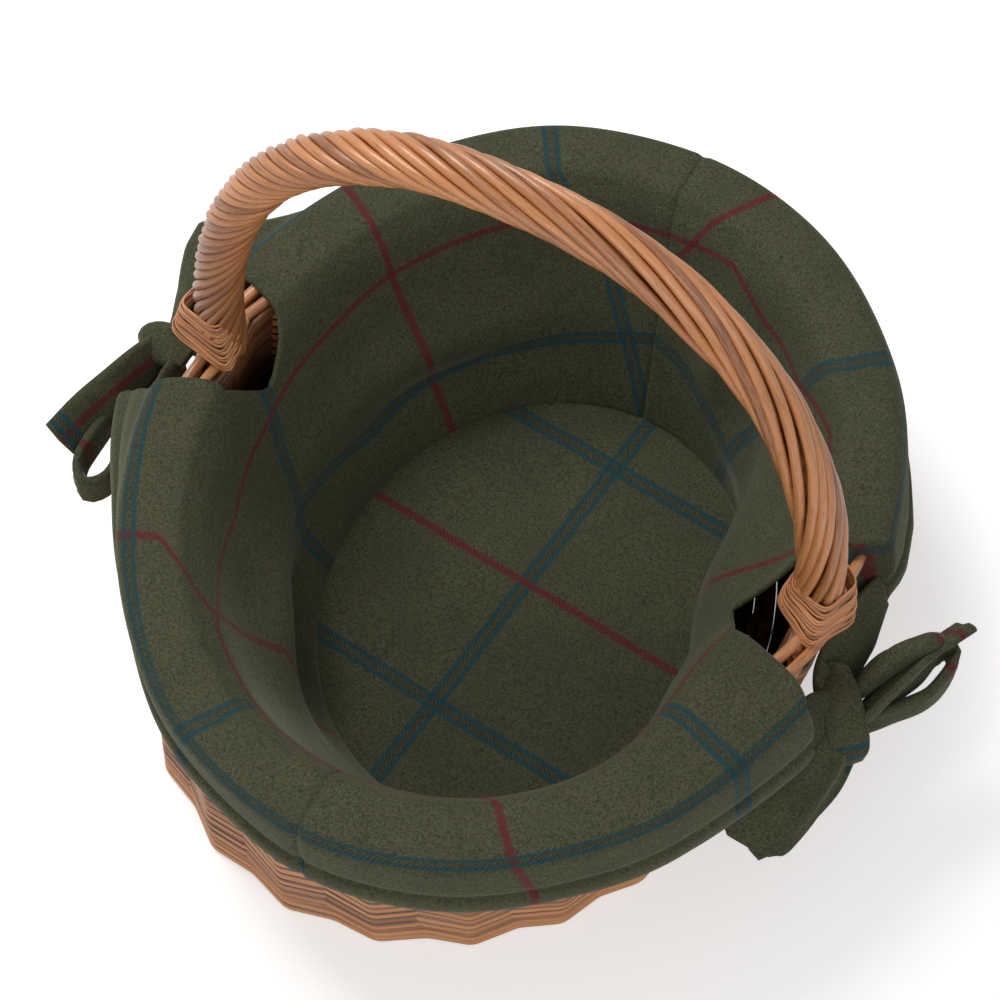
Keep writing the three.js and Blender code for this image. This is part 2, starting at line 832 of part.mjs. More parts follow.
addPiece('base_weave', cutAway(baseDisc(), baseSticks(clearance, cutOverrun)), willow);
for (let i = 0; i < crossStickCount; i += 1) {
  const threads = longSticks(clearance, cutOverrun);
  addPiece(`base_cross_stick_${i + 1}`, cutAway(crossStick(i, 0, 0), threads), darkWillow);
}
for (let i = 0; i < longStickCount; i += 1) {
  addPiece(`base_long_stick_${i + 1}`, longStick(i, 0, 0), darkWillow);
}

addPiece('handle_core', handleCore(0), darkWillow);
for (let i = 0; i < strandCount; i += 1) {
  addPiece(`handle_rope_strand_${i + 1}`, handleStrand(i), willow);
}

addPiece('lining_base_panel', liningBasePanel(), wool);
for (const { name, side, knotAlong } of ends) {
  addPiece(`handle_wrap_${name}`, caneWrap(side), willow);
  addPiece(`lining_side_${name}`, liningSide(side), wool);
  for (const [place, tie] of [['front', frontTie], ['back', backTie]]) {
    const turned = side > 0 ? tie(knotAlong, side) : tie(knotAlong, side).rotateZ(Math.PI);
    addPiece(`tie_${name}_${place}`, turned, wool);
  }
}

console.log(`least gap in a handle wrap ${leastWrapGap(1).toFixed(2)} mm`);

export default basket;
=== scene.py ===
# Oval willow shopping basket with a roped bow handle and a tied check lining.
# Lengths are in metres and +Z is up. The origin is on the floor under the middle of the basket.
# X runs along the handle, and Y runs along the long side of the oval.

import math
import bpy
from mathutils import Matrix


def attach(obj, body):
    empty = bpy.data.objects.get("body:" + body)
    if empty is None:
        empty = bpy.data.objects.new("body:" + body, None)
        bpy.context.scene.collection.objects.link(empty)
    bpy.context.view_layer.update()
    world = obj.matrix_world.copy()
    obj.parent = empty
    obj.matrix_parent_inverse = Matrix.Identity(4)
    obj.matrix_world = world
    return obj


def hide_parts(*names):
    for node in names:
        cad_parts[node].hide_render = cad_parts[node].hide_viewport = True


bl_info = {
    "name": "Lined Willow Shopping Basket",
    "version": (1, 0, 0),
    "blender": (4, 5, 0),
    "location": "View3D > Sidebar > Basket",
    "description": "Weaves an oval willow basket and dresses it with a tied check lining",
    "category": "Add Mesh",
}

import bpy
import numpy as np
from bpy.props import FloatProperty, FloatVectorProperty, IntProperty, PointerProperty
from mathutils import Vector, noise

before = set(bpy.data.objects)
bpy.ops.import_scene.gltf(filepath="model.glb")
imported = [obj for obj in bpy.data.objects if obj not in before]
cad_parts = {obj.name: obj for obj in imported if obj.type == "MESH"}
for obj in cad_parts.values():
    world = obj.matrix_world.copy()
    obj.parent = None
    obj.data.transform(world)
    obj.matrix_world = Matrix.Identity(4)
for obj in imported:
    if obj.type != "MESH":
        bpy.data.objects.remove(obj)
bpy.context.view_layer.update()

SHARED_SEED = 7

# Willow wall
RIM_LENGTH = 0.406
RIM_WIDTH = 0.344
FOOT_LENGTH = 0.385
FOOT_WIDTH = 0.330
# How far the foot is set off under the rim, and the direction from +X
FOOT_SWAY = 0.018
FOOT_SWAY_DEGREES = -168.0
RIM_TOP = 0.1463
BORDER_BOTTOM = 0.1341
FOOT_TOP = 0.018
RIDGES = 24
FOOT_RIDGE_DEPTH = 0.005
RIM_RIDGE_DEPTH = 0.009
# Depth of the valleys at the two handle legs, as a part of the others
LEG_VALLEY_SHARE = 0.3
WALL_THICKNESS = 0.018
ROW_PITCH = 0.0072
PAIR_PITCH = 0.0030
COURSE_ROWS = 8
SIDE_ROWS = 16
COURSE_GAP = 0.0003
FOOT_RODS = 3
STAKE_INSET = 0.0088

# Base
BASE_MIDDLE = 0.008
BASE_RINGS = 29
BASE_PITCH = 0.00465
BASE_EXTRA_LENGTH = 0.0277
BASE_SHIFT = (-0.0166, -0.0035)
CROSS_STICKS = 5
CROSS_PITCH = 0.052
LONG_STICKS = 3
LONG_PITCH = 0.030

# Handle
HANDLE_SPAN = 0.3176
HANDLE_SHOULDER = 0.1617
HANDLE_RISE = 0.210
HANDLE_ROUNDNESS = 2.19
HANDLE_FOOT = 0.1475
HANDLE_RODS = 12
# Share of the way from the left foot, and the slant of the rods there in degrees
HANDLE_LAY = (
    [0.0, 0.05, 0.12, 0.2, 0.3, 0.38, 0.5, 0.6, 0.8, 0.92, 1.0],
    [15, 23, 33, 35, 33, 28, 17, 13, 11, 12, 16],
)

# Lining
CLOTH = 0.0026
HEM_CLOTH = 0.0046
HEM_HEIGHT = 0.012
CUFF_WIDTH = 0.3672
CUFF_LENGTH = 0.4278
CUFF_CREST = 0.1503
HEM_BOTTOM = 0.1027
SHOULDER = 0.1455
ROLL_HALF_WIDTH = 0.1458
ROLL_HALF_LENGTH = 0.1768
BAG_HALF_WIDTH = 0.1050
BAG_HALF_LENGTH = 0.1267
BAG_SHIFT = (0.010, 0.003)
BAG_FLOOR = 0.0123
BAG_SEAM = 0.0152
FOLD_DEPTH = 0.004
# Size of one cell of the check round the panel and up it, and where the base panel's lines cross
CHECK_U = 0.110
CHECK_V = 0.083
BASE_CHECK = (0.0004, 0.0136)

# View
CAMERA_AZIMUTH = 27.35
CAMERA_ELEVATION = 60.0
CAMERA_DISTANCE = 1.6
CAMERA_TARGET = (0.0, 0.0, 0.100)
CAMERA_LENS = 117.6
CAMERA_SHIFT = (-0.0132, 0.0204)


def lerp(a, b, t):
    return a + (b - a) * t


def smooth(t):
    """A smooth step from 0 to 1 while t goes from 0 to 1."""
    t = np.clip(t, 0.0, 1.0)
    return t * t * (3 - 2 * t)


def unit(v):
    """Vectors in their own directions with the length 1."""
    v = np.asarray(v, float)
    return v / np.maximum(np.linalg.norm(v, axis=-1, keepdims=True), 1e-12)


# Settings that a user would change


class BasketWillow(bpy.types.PropertyGroup):
    weave_rod: FloatProperty(
        name="Weave rod", description="Diameter of the rods of the side weave",
        default=0.0035, unit="LENGTH"
    )
    handle_rod: FloatProperty(
        name="Handle rod", description="Diameter of the twisted rods of the handle",
        default=0.0049, unit="LENGTH"
    )
    split_width: FloatProperty(
        name="Split willow", description="Width of the split willow bound round the handle feet",
        default=0.0018, unit="LENGTH"
    )
    light: FloatVectorProperty(
        name="Light willow", description="Lightest colour of the willow", subtype="COLOR",
        default=(0.60, 0.255, 0.092), size=3
    )
    dark: FloatVectorProperty(
        name="Dark willow", description="Darkest colour of the willow", subtype="COLOR",
        default=(0.17, 0.055, 0.019), size=3
    )


class BasketLining(bpy.types.PropertyGroup):
    wool: FloatVectorProperty(
        name="Wool", description="Ground colour of the check wool", subtype="COLOR",
        default=(0.060, 0.064, 0.037), size=3
    )
    red: FloatVectorProperty(
        name="Red line", description="Colour of the single lines of the check", subtype="COLOR",
        default=(0.112, 0.014, 0.021), size=3
    )
    blue: FloatVectorProperty(
        name="Blue line", description="Colour of the double lines of the check", subtype="COLOR",
        default=(0.007, 0.054, 0.072), size=3
    )
    fold_depth: FloatProperty(
        name="Fold depth", description="Depth of the soft folds inside the bag",
        default=FOLD_DEPTH, unit="LENGTH"
    )
    columns: IntProperty(
        name="Columns", description="Mesh columns along each half of a side panel", default=110, min=20
    )


class BasketStage(bpy.types.PropertyGroup):
    floor: FloatVectorProperty(
        name="Floor", description="Colour of the floor", subtype="COLOR",
        default=(0.93, 0.93, 0.93), size=3
    )


# Ovals


def run_lengths(points):
    """Distance of every point from the first one, along the path."""
    return np.concatenate([[0], np.cumsum(np.linalg.norm(np.diff(points, axis=0), axis=1))])


def arc_table(half_width, half_length, samples=4096):
    """Arc shares and angles of an oval, counterclockwise from -Y, and its way round."""
    angles = np.linspace(-math.pi / 2, 1.5 * math.pi, samples + 1)
    points = np.stack([half_width * np.cos(angles), half_length * np.sin(angles)], 1)
    lengths = run_lengths(points)
    return lengths / lengths[-1], angles, lengths[-1]


RIM_TABLE = arc_table(RIM_WIDTH / 2, RIM_LENGTH / 2)
CUFF_TABLE = arc_table(CUFF_WIDTH / 2, CUFF_LENGTH / 2)
BAG_TABLE = arc_table(BAG_HALF_WIDTH, BAG_HALF_LENGTH)


def oval_angle(share, table=RIM_TABLE):
    """Angle on an oval whose arc share is counted counterclockwise from -Y."""
    share = np.asarray(share, float)
    whole = np.floor(share)
    return np.interp(share - whole, table[0], table[1]) + 2 * math.pi * whole


def half_width(z):
    return lerp(FOOT_WIDTH, RIM_WIDTH, z / RIM_TOP) / 2


def half_length(z):
    return lerp(FOOT_LENGTH, RIM_LENGTH, z / RIM_TOP) / 2


def sway(angle, z):
    """How far the hand woven wall leans to one side at a height, in metres outward."""
    return lerp(FOOT_SWAY, 0.0, z / RIM_TOP) * math.cos(angle - math.radians(FOOT_SWAY_DEGREES))


def wall_point(step, inset, z):
    """A point on the wall. Even steps are valleys, odd steps are ridges, and step 0 is at +X."""
    angle = float(oval_angle(0.25 + step / (2 * RIDGES)))
    grown = sway(angle, z) - inset
    x = (half_width(z) + grown) * math.cos(angle)
    y = (half_length(z) + grown) * math.sin(angle)
    return np.array([x, y, z])


def valley_depth(step, z):
    """How far a valley of the side weave lies in from its ridges. A ridge has none."""
    if step % 2 == 1:
        return 0.0
    depth = lerp(FOOT_RIDGE_DEPTH, RIM_RIDGE_DEPTH, z / RIM_TOP)
    return depth * LEG_VALLEY_SHARE if step % RIDGES == 0 else depth


# Paths


def rounded_path(points, fillet, steps=4):
    """A polyline with each inner corner replaced by a short curve."""
    points = [np.asarray(p, float) for p in points]
    made = [points[0]]
    for before, corner, after in zip(points, points[1:], points[2:]):
        back, on = before - corner, after - corner
        start = corner + back * min(fillet / np.linalg.norm(back), 0.48)
        end = corner + on * min(fillet / np.linalg.norm(on), 0.48)
        for i in range(steps + 1):
            t = i / steps
            made.append((1 - t) ** 2 * start + 2 * t * (1 - t) * corner + t * t * end)
    made.append(points[-1])
    return np.array(made)


def spline(points, count, closed=False):
    """An even Catmull-Rom curve through points of any number of columns."""
    p = np.asarray(points, float)
    if closed:
        p = np.concatenate([p[-1:], p, p[:2]])
    else:
        p = np.concatenate([2 * p[:1] - p[1:2], p, 2 * p[-1:] - p[-2:-1]])
    fine = []
    for i in range(1, len(p) - 2):
        t = np.linspace(0, 1, 24, endpoint=False)[:, None]
        a, b, c, d = p[i - 1], p[i], p[i + 1], p[i + 2]
        slope = 2 * b + (c - a) * t
        square = (2 * a - 5 * b + 4 * c - d) * t**2
        cube = (3 * b - a - 3 * c + d) * t**3
        fine.append(0.5 * (slope + square + cube))
    fine = np.concatenate([*fine, p[-2:-1]])
    lengths = run_lengths(fine[:, :3])
    wanted = np.linspace(0, lengths[-1], count + 1 if closed else count)
    return at_lengths(wanted[:count], lengths, fine)


def at_lengths(wanted, lengths, columns):
    """Every column of a path at the wanted distances along it."""
    return np.stack([np.interp(wanted, lengths, column) for column in columns.T], 1)


# Node trees


class NodeTree:
    """Short hand for the nodes and links of one node tree."""

    def __init__(self, tree):
        self.nodes = tree.nodes
        self.links = tree.links

    def put(self, socket, value):
        """Links another socket into this one, or sets its value. A colour may have three numbers."""
        if isinstance(value, bpy.types.NodeSocket):
            self.links.new(value, socket)
        elif isinstance(value, tuple) and len(value) == 3 and socket.type == "RGBA":
            socket.default_value = (*value, 1.0)
        else:
            socket.default_value = value

    def node(self, kind, inputs=None, **settings):
        """Adds a node with its settings, and with the values and links of its inputs."""
        made = self.nodes.new(kind)
        for key, value in settings.items():
            setattr(made, key, value)
        for key, value in (inputs or {}).items():
            self.put(made.inputs[key], value)
        return made

    def math(self, operation, a, b=0.0):
        return self.node("ShaderNodeMath", {0: a, 1: b}, operation=operation).outputs[0]

    def vector(self, operation, a, b):
        return self.node("ShaderNodeVectorMath", {0: a, 1: b}, operation=operation).outputs[0]

    def combine(self, x, y, z):
        return self.node("ShaderNodeCombineXYZ", {0: x, 1: y, 2: z}).outputs[0]


# Rods laid along paths by a node tree

ROD_INPUTS = (
    ("Paths", "NodeSocketGeometry", None),
    ("Sides", "NodeSocketInt", 8),
    ("Flatness", "NodeSocketFloat", 1.0),
    ("Unevenness", "NodeSocketFloat", 0.06),
    ("Bend", "NodeSocketFloat", 0.0003),
    ("Seed", "NodeSocketFloat", 1.0),
    ("Willow", "NodeSocketMaterial", None),
)
# The waver of a rod: turns of the noise to a metre, its step from rod to rod, and a gain on it
WAVER_ALONG = 28.0
WAVER_PER_ROD = 91.0
WAVER_GAIN = 4.0


def new_socket(tree, name, kind, default=None, in_out="INPUT"):
    """Adds a named socket to a node group and gives its identifier."""
    item = tree.interface.new_socket(name, in_out=in_out, socket_type=kind)
    if default is not None:
        item.default_value = default
    return item.identifier


def rod_tree(name, flat):
    """Turns edge paths into willow. Flat strips lie with their wide face along the facing attribute."""
    tree = bpy.data.node_groups.new(name, "GeometryNodeTree")
    sockets = {key: new_socket(tree, key, kind, default) for key, kind, default in ROD_INPUTS}
    new_socket(tree, "Rods", "NodeSocketGeometry", in_out="OUTPUT")
    t = NodeTree(tree)
    start = t.node("NodeGroupInput").outputs

    def field(attribute, kind="FLOAT"):
        node = t.node("GeometryNodeInputNamedAttribute", {"Name": attribute}, data_type=kind)
        return node.outputs["Attribute"]

    along = t.math("MULTIPLY", field("along"), WAVER_ALONG)
    number = t.math("MULTIPLY", field("rod"), WAVER_PER_ROD)
    spot = t.combine(along, number, start["Seed"])
    waver = t.node("ShaderNodeTexNoise", {"Vector": spot, "Scale": 1.0, "Detail": 1.0})
    centred = t.vector("SUBTRACT", waver.outputs["Color"], (0.5, 0.5, 0.5))
    reach = t.math("MULTIPLY", start["Bend"], WAVER_GAIN)
    offset = t.node("ShaderNodeVectorMath", {0: centred, "Scale": reach}, operation="SCALE")
    bent = t.node("GeometryNodeSetPosition", {"Geometry": start["Paths"], "Offset": offset.outputs[0]})
    lines = t.node("GeometryNodeMeshToCurve", {"Mesh": bent.outputs[0]})
    if flat:
        facing = field("facing", "FLOAT_VECTOR")
        inputs = {"Curve": lines.outputs[0], "Normal": facing}
        lines = t.node("GeometryNodeSetCurveNormal", inputs, mode="FREE")
    circle = t.node("GeometryNodeCurvePrimitiveCircle", {"Radius": 1.0, "Resolution": start["Sides"]})
    position = t.node("GeometryNodeInputPosition").outputs[0]
    inputs = {"Geometry": circle.outputs[0], "Name": "ring", "Value": position}
    ring = t.node("GeometryNodeStoreNamedAttribute", inputs, data_type="FLOAT_VECTOR", domain="POINT")
    factors = t.combine(start["Flatness"], 1.0, 1.0)
    profile = t.node("GeometryNodeTransform", {"Geometry": ring.outputs[0], "Scale": factors})
    swell = t.math("SUBTRACT", waver.outputs["Fac"], 0.5)
    swell = t.math("MULTIPLY", swell, start["Unevenness"])
    swell = t.math("ADD", t.math("MULTIPLY", swell, WAVER_GAIN), 1.0)
    sweep = t.node("GeometryNodeCurveToMesh", {
        "Curve": lines.outputs[0], "Profile Curve": profile.outputs[0],
        "Scale": t.math("MULTIPLY", swell, field("girth")), "Fill Caps": True,
    })
    shaded = t.node("GeometryNodeSetShadeSmooth", {"Geometry": sweep.outputs[0]})
    real = t.node("GeometryNodeRealizeInstances", {0: shaded.outputs[0]})
    dressed = t.node("GeometryNodeSetMaterial", {"Geometry": real.outputs[0], "Material": start["Willow"]})
    t.node("NodeGroupOutput", {0: dressed.outputs[0]})
    return tree, sockets


def rod(points, diameter, facing=None, closed=False, offset=0.0):
    """One rod for lay_rods. The offset moves the grain along it."""
    points = np.asarray(points, float)
    return {"points": points, "girth": diameter, "facing": facing, "closed": closed, "offset": offset}


def lay_rods(name, rods, material, seed, sides=8, flat=False, flatness=1.0, unevenness=0.06, bend=0.0003):
    """One mesh piece from many paths. Each rod carries its own random number and its length along."""
    draw = np.random.default_rng(seed)
    points, edges, girth, along, number, facing = [], [], [], [], [], []
    for item in rods:
        first = len(points)
        p = item["points"]
        count = len(p)
        points.extend(p.tolist())
        edges.extend((first + i, first + i + 1) for i in range(count - 1))
        if item["closed"]:
            edges.append((first + count - 1, first))
        girth.extend((np.broadcast_to(item["girth"], count) / 2).tolist())
        along.extend((run_lengths(p) + item["offset"]).tolist())
        number.extend([float(draw.random())] * count)
        face = np.zeros((count, 3)) if item["facing"] is None else np.asarray(item["facing"], float)
        facing.extend(face.tolist())
    mesh = bpy.data.meshes.new(name)
    mesh.from_pydata(points, edges, [])
    for key, values in (("girth", girth), ("along", along), ("rod", number)):
        mesh.attributes.new(key, "FLOAT", "POINT").data.foreach_set("value", np.array(values, np.float32))
    vectors = mesh.attributes.new("facing", "FLOAT_VECTOR", "POINT")
    vectors.data.foreach_set("vector", np.array(facing, np.float32).ravel())
    obj = linked(name, mesh)
    tree, sockets = rod_tree(name + "_laying", flat)
    modifier = obj.modifiers.new("Laid willow", "NODES")
    modifier.node_group = tree
    values = {
        "Sides": sides, "Flatness": flatness, "Unevenness": unevenness, "Bend": bend,
        "Seed": float(seed), "Willow": material,
    }
    for key, value in values.items():
        modifier[sockets[key]] = value
    return made_plain(obj)


def linked(name, data):
    """A new object in the scene from a mesh, a lamp or a camera."""
    obj = bpy.data.objects.new(name, data)
    bpy.context.scene.collection.objects.link(obj)
    return obj


def made_plain(obj):
    """Replaces an object's mesh with its evaluated one, and takes its modifiers off."""
    bpy.context.view_layer.update()
    graph = bpy.context.evaluated_depsgraph_get()
    plain = bpy.data.meshes.new_from_object(
        obj.evaluated_get(graph), preserve_all_data_layers=True, depsgraph=graph
    )
    obj.modifiers.clear()
    obj.data = plain
    return obj


def finish_piece(obj, slot, *nodes):
    """Hands a piece to the root body, and hides the named nodes that it stands in for. The slot is not
    used.
    """
    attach(obj, "root")
    if nodes:
        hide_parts(*nodes)
    return obj


# Materials


class Shade(NodeTree):
    """Short hand for the nodes of one material."""

    def __init__(self, name):
        self.material = bpy.data.materials.new(name)
        self.material.use_nodes = True
        super().__init__(self.material.node_tree)
        self.shader = next(n for n in self.nodes if n.type == "BSDF_PRINCIPLED")

    def attribute(self, name, output="Fac"):
        return self.node("ShaderNodeAttribute", attribute_name=name).outputs[output]

    def noise(self, vector, scale, detail, roughness):
        inputs = {"Vector": vector, "Scale": scale, "Detail": detail, "Roughness": roughness}
        return self.node("ShaderNodeTexNoise", inputs).outputs["Fac"]

    def ramp(self, value, low, high, start=0.0, end=1.0):
        """A smooth step from start to end while the value goes from low to high."""
        inputs = {"Value": value, "From Min": low, "From Max": high, "To Min": start, "To Max": end}
        return self.node("ShaderNodeMapRange", inputs, interpolation_type="SMOOTHSTEP").outputs["Result"]

    def mix(self, factor, a, b):
        return self.node("ShaderNodeMix", {"Factor": factor, 6: a, 7: b}, data_type="RGBA").outputs[2]

    def bump(self, height, distance, strength):
        inputs = {"Height": height, "Distance": distance, "Strength": strength}
        return self.node("ShaderNodeBump", inputs).outputs["Normal"]

    def object_coordinates(self):
        return self.node("ShaderNodeTexCoord").outputs["Object"]

    def parts(self, vector):
        return self.node("ShaderNodeSeparateXYZ", {0: vector}).outputs

    def finish(self, **looks):
        """Sets the shader's inputs, with low lines for the spaces in their names. Gives the material."""
        for key, value in looks.items():
            self.put(self.shader.inputs[key.replace("_", " ")], value)
        return self.material


def scaled(colour, factor):
    """A colour times one factor."""
    return tuple(c * factor for c in colour)


# Noise of the willow: scale, detail and roughness. On a rod it is drawn out along the length, by so
# many turns to a metre, and it goes round by the place on the rod's ring.
GRAIN_NOISE = (2.6, 5.0, 0.62)
GRAIN_ALONG = 34.0
GRAIN_ROUND = (1.5, 1.5, 0.0)
PATCH_NOISE = (1.0, 2.0, 0.5)
PATCH_ALONG = 16.0
PATCH_ROUND = (0.5, 0.5, 0.0)
PATCH_PLACE = 4.0
STEP_PER_ROD = 37.0
# How much the rod's own number and its patches give to its tone, and the tones from dark to light
TONE_OF_ROD = 0.72
TONE_OF_PATCH = 0.9
TONE_RANGE = (0.35, 1.20)
# Ranges of the grain in which the light streaks come and the dark ones go, and their full shares
STREAK_RANGE = (0.32, 0.68)
STREAK_SHARE = 0.42
DEEP_RANGE = (0.30, 0.44)
DEEP_SHARE = 0.6
# Share of the darkening where a rod starts, and the part of the darkened length where it is full
EARLY_DARK_SHARE = 0.62
EARLY_DARK_FULL = 0.4
# Painted shade between two rows and along the middle of one, where the rods meet: by distance from the
# middle as a part of a row
GROOVE_SHADE = (0.25, 0.41, 0.0, 0.97)
MIDDLE_SHADE = (0.0, 0.07, 0.38, 0.0)
GRAIN_RELIEF = (0.0003, 0.5)
# Factors on the light colour for the streaks, and on the dark colour for the others; the groove and middle
# factors give the painted shade
STREAK_TINT = 1.28
DEEP_TINT = 0.55
EARLY_DARK_TINT = 1.5
GROOVE_TINT = 0.2
MIDDLE_TINT = 0.4
COAT = 0.34
COAT_ROUGHNESS = 0.24


def willow_material(name, light, dark, roughness, lift=0.0, groove=None, streaks=1.0, stained_to=0.0):
    """Stained willow: long fine grain, darker patches and a tone of its own for every rod. Rods can be
    darker over the first stretch of their length, and rows can get painted shade between them and along
    their middles.
    """
    s = Shade(name)
    along, number = s.attribute("along"), s.attribute("rod")
    own = s.math("MULTIPLY", number, STEP_PER_ROD)
    ring = s.attribute("ring", "Vector")
    drawn_out = s.combine(own, own, s.math("MULTIPLY", along, GRAIN_ALONG))
    grain = s.noise(s.vector("ADD", s.vector("MULTIPLY", ring, GRAIN_ROUND), drawn_out), *GRAIN_NOISE)
    drawn_out = s.combine(own, PATCH_PLACE, s.math("MULTIPLY", along, PATCH_ALONG))
    patch = s.noise(s.vector("ADD", s.vector("MULTIPLY", ring, PATCH_ROUND), drawn_out), *PATCH_NOISE)
    patches = s.math("MULTIPLY", patch, TONE_OF_PATCH)
    tone = s.math("ADD", s.math("MULTIPLY", number, TONE_OF_ROD), patches)
    colour = s.mix(s.ramp(s.math("ADD", tone, lift), *TONE_RANGE), dark, light)
    streak = s.math("MULTIPLY", s.ramp(grain, *STREAK_RANGE), STREAK_SHARE * streaks)
    warm = tuple(min(1.0, c * STREAK_TINT) for c in light)
    colour = s.mix(streak, colour, warm)
    deep = s.ramp(grain, *DEEP_RANGE, DEEP_SHARE * streaks, 0.0)
    colour = s.mix(deep, colour, scaled(dark, DEEP_TINT))
    # Darker over the first stretch of each rod; on the handle that is the left leg
    if stained_to > 0:
        stain = s.ramp(along, EARLY_DARK_FULL * stained_to, stained_to, EARLY_DARK_SHARE, 0.0)
        colour = s.mix(stain, colour, scaled(dark, EARLY_DARK_TINT))
    # Painted shade: darker between the rows and along the middle of each row, by height
    if groove:
        first_row, pitch = groove
        height = s.parts(s.object_coordinates())[2]
        count = s.math("DIVIDE", s.math("SUBTRACT", height, first_row), pitch)
        away = s.math("ABSOLUTE", s.math("SUBTRACT", s.math("FRACT", count), 0.5))
        colour = s.mix(s.ramp(away, *GROOVE_SHADE), colour, scaled(dark, GROOVE_TINT))
        colour = s.mix(s.ramp(away, *MIDDLE_SHADE), colour, scaled(dark, MIDDLE_TINT))
    return s.finish(
        Base_Color=colour, Roughness=s.ramp(grain, 0.2, 0.8, roughness + 0.1, roughness - 0.06),
        Coat_Weight=COAT, Coat_Roughness=COAT_ROUGHNESS, Normal=s.bump(grain, *GRAIN_RELIEF),
    )


# Noise of the frame's own sticks, on object coordinates
STICK_GRAIN = (900.0, 4.0, 0.6)
STICK_STRETCH = (1.0, 1.0, 0.25)
STICK_PATCH = (60.0, 2.0, 0.5)


def stick_material(name, light, dark, roughness):
    """Willow for the frame's own sticks, with its grain on object coordinates."""
    s = Shade(name)
    spot = s.object_coordinates()
    grain = s.noise(s.vector("MULTIPLY", spot, STICK_STRETCH), *STICK_GRAIN)
    patch = s.noise(spot, *STICK_PATCH)
    colour = s.mix(s.ramp(patch, 0.3, 0.7), dark, light)
    colour = s.mix(s.ramp(grain, 0.3, 0.5, 0.5, 0.0), colour, scaled(dark, 0.5))
    return s.finish(Base_Color=colour, Roughness=roughness, Normal=s.bump(grain, *GRAIN_RELIEF))


def willow_finish(kind, roughness, light=(1.0, 1.0, 1.0), dark=1.0, make=willow_material, **looks):
    """One kind of willow, made once. Light and dark are factors on the colours of the settings."""
    name = f"{kind}_willow_finish"
    if name in bpy.data.materials:
        return bpy.data.materials[name]
    settings = bpy.context.scene.basket_willow
    tinted = tuple(c * factor for c, factor in zip(settings.light, light))
    return make(name, tinted, scaled(settings.dark, dark), roughness, **looks)


def base_willow():
    return willow_finish("woven", 0.42, lift=0.02)


# Rows of the side weave, with painted shade between the rows and along the middle of each pair
def row_willow():
    return willow_finish("row", 0.34, lift=0.13, groove=(FOOT_TOP + COURSE_GAP, ROW_PITCH), streaks=0.4)


# The foot rods, with painted shade between them
def foot_willow():
    return willow_finish("foot", 0.36, lift=0.18, groove=(0.0, FOOT_TOP / FOOT_RODS), streaks=0.5)


# Painted shade: the rods behind the stakes are a darker copy of the willow, as they lie in the wall's shade
def shaded_inner_willow():
    return willow_finish("inner", 0.5, light=(0.4, 0.4, 0.4), dark=0.5)


def border_willow():
    return willow_finish("border", 0.36, lift=0.02)


# The handle's rods are darker over their first 0.2 metres, along the left leg
def handle_willow():
    return willow_finish("handle", 0.28, light=(0.95, 0.92, 0.9), stained_to=0.20)


def split_willow():
    return willow_finish("split", 0.34, light=(1.05, 1.0, 0.95), lift=-0.06)


def stick_willow():
    return willow_finish("stick", 0.5, light=(0.8, 0.8, 0.8), make=stick_material)


# Noise of the wool: scale, detail and roughness
FIBRE_NOISE = (800.0, 5.0, 0.75)
FELT_NOISE = (340.0, 3.0, 0.6)
CLOUD_NOISE = (38.0, 2.0, 0.5)
WAVER_NOISE = (420.0, 3.0, 0.6)
# How the noises mottle the ground: their ranges and shares, and factors on the colour of the wool
FIBRE_RANGE = (0.33, 0.68)
FIBRE_DARK = 0.38
FIBRE_LIGHT = 1.75
FELT_SHARE = (0.3, 0.7, 0.0, 0.45)
FELT_TINT = (1.40, 1.22, 0.95)
CLOUD_SHARE = (0.3, 0.7, 0.0, 0.3)
CLOUD_TINT = 0.72
# How far the noise moves a line, as a part of a cell
LINE_WAVER = 0.026
TWILL_PITCH = 0.0024
TWILL_WAVER = 2.6
TWILL_SHADE = (-0.7, 0.5, 0.12, 1.0)
# Least share of a line that shows between the threads
THREAD_SHARE = 0.55
# The blue lines are pairs, and each line lies this far from the middle of its pair.
BLUE_REACH = 0.0031
# Strength of a line of the check by distance from its middle in metres: full, gone, and both shares
BLUE_LINE = (0.0003, 0.0021, 0.9, 0.0)
BETWEEN_BLUES = (0.0033, 0.0046, 0.58, 0.0)
BETWEEN_COLOUR = (0.019, 0.027, 0.026)
RED_LINE = (0.0011, 0.0030, 0.95, 0.0)
FLECK_RANGE = (0.62, 0.8, 0.0, 0.35)
FLECK_COLOUR = (0.16, 0.17, 0.10)
WOOL_RELIEF = (0.0009, 0.6)


def line_distance(s, cell, size, phase):
    """Metres from the nearest line. Phase 0 gives even cells, and phase 0.5 gives odd ones."""
    shifted = s.math("ADD", s.math("MULTIPLY", cell, 0.5), 0.5 + phase)
    away = s.math("SUBTRACT", s.math("FRACT", shifted), 0.5)
    return s.math("ABSOLUTE", s.math("MULTIPLY", away, 2.0 * size))


def wool_ground(s, wool, fibre, felt, cloud):
    """The green of the wool, mottled by its fibres."""
    colour = s.mix(s.ramp(fibre, *FIBRE_RANGE), scaled(wool, FIBRE_DARK), scaled(wool, FIBRE_LIGHT))
    olive = tuple(c * factor for c, factor in zip(wool, FELT_TINT))
    colour = s.mix(s.ramp(felt, *FELT_SHARE), colour, olive)
    return s.mix(s.ramp(cloud, *CLOUD_SHARE), colour, scaled(wool, CLOUD_TINT))


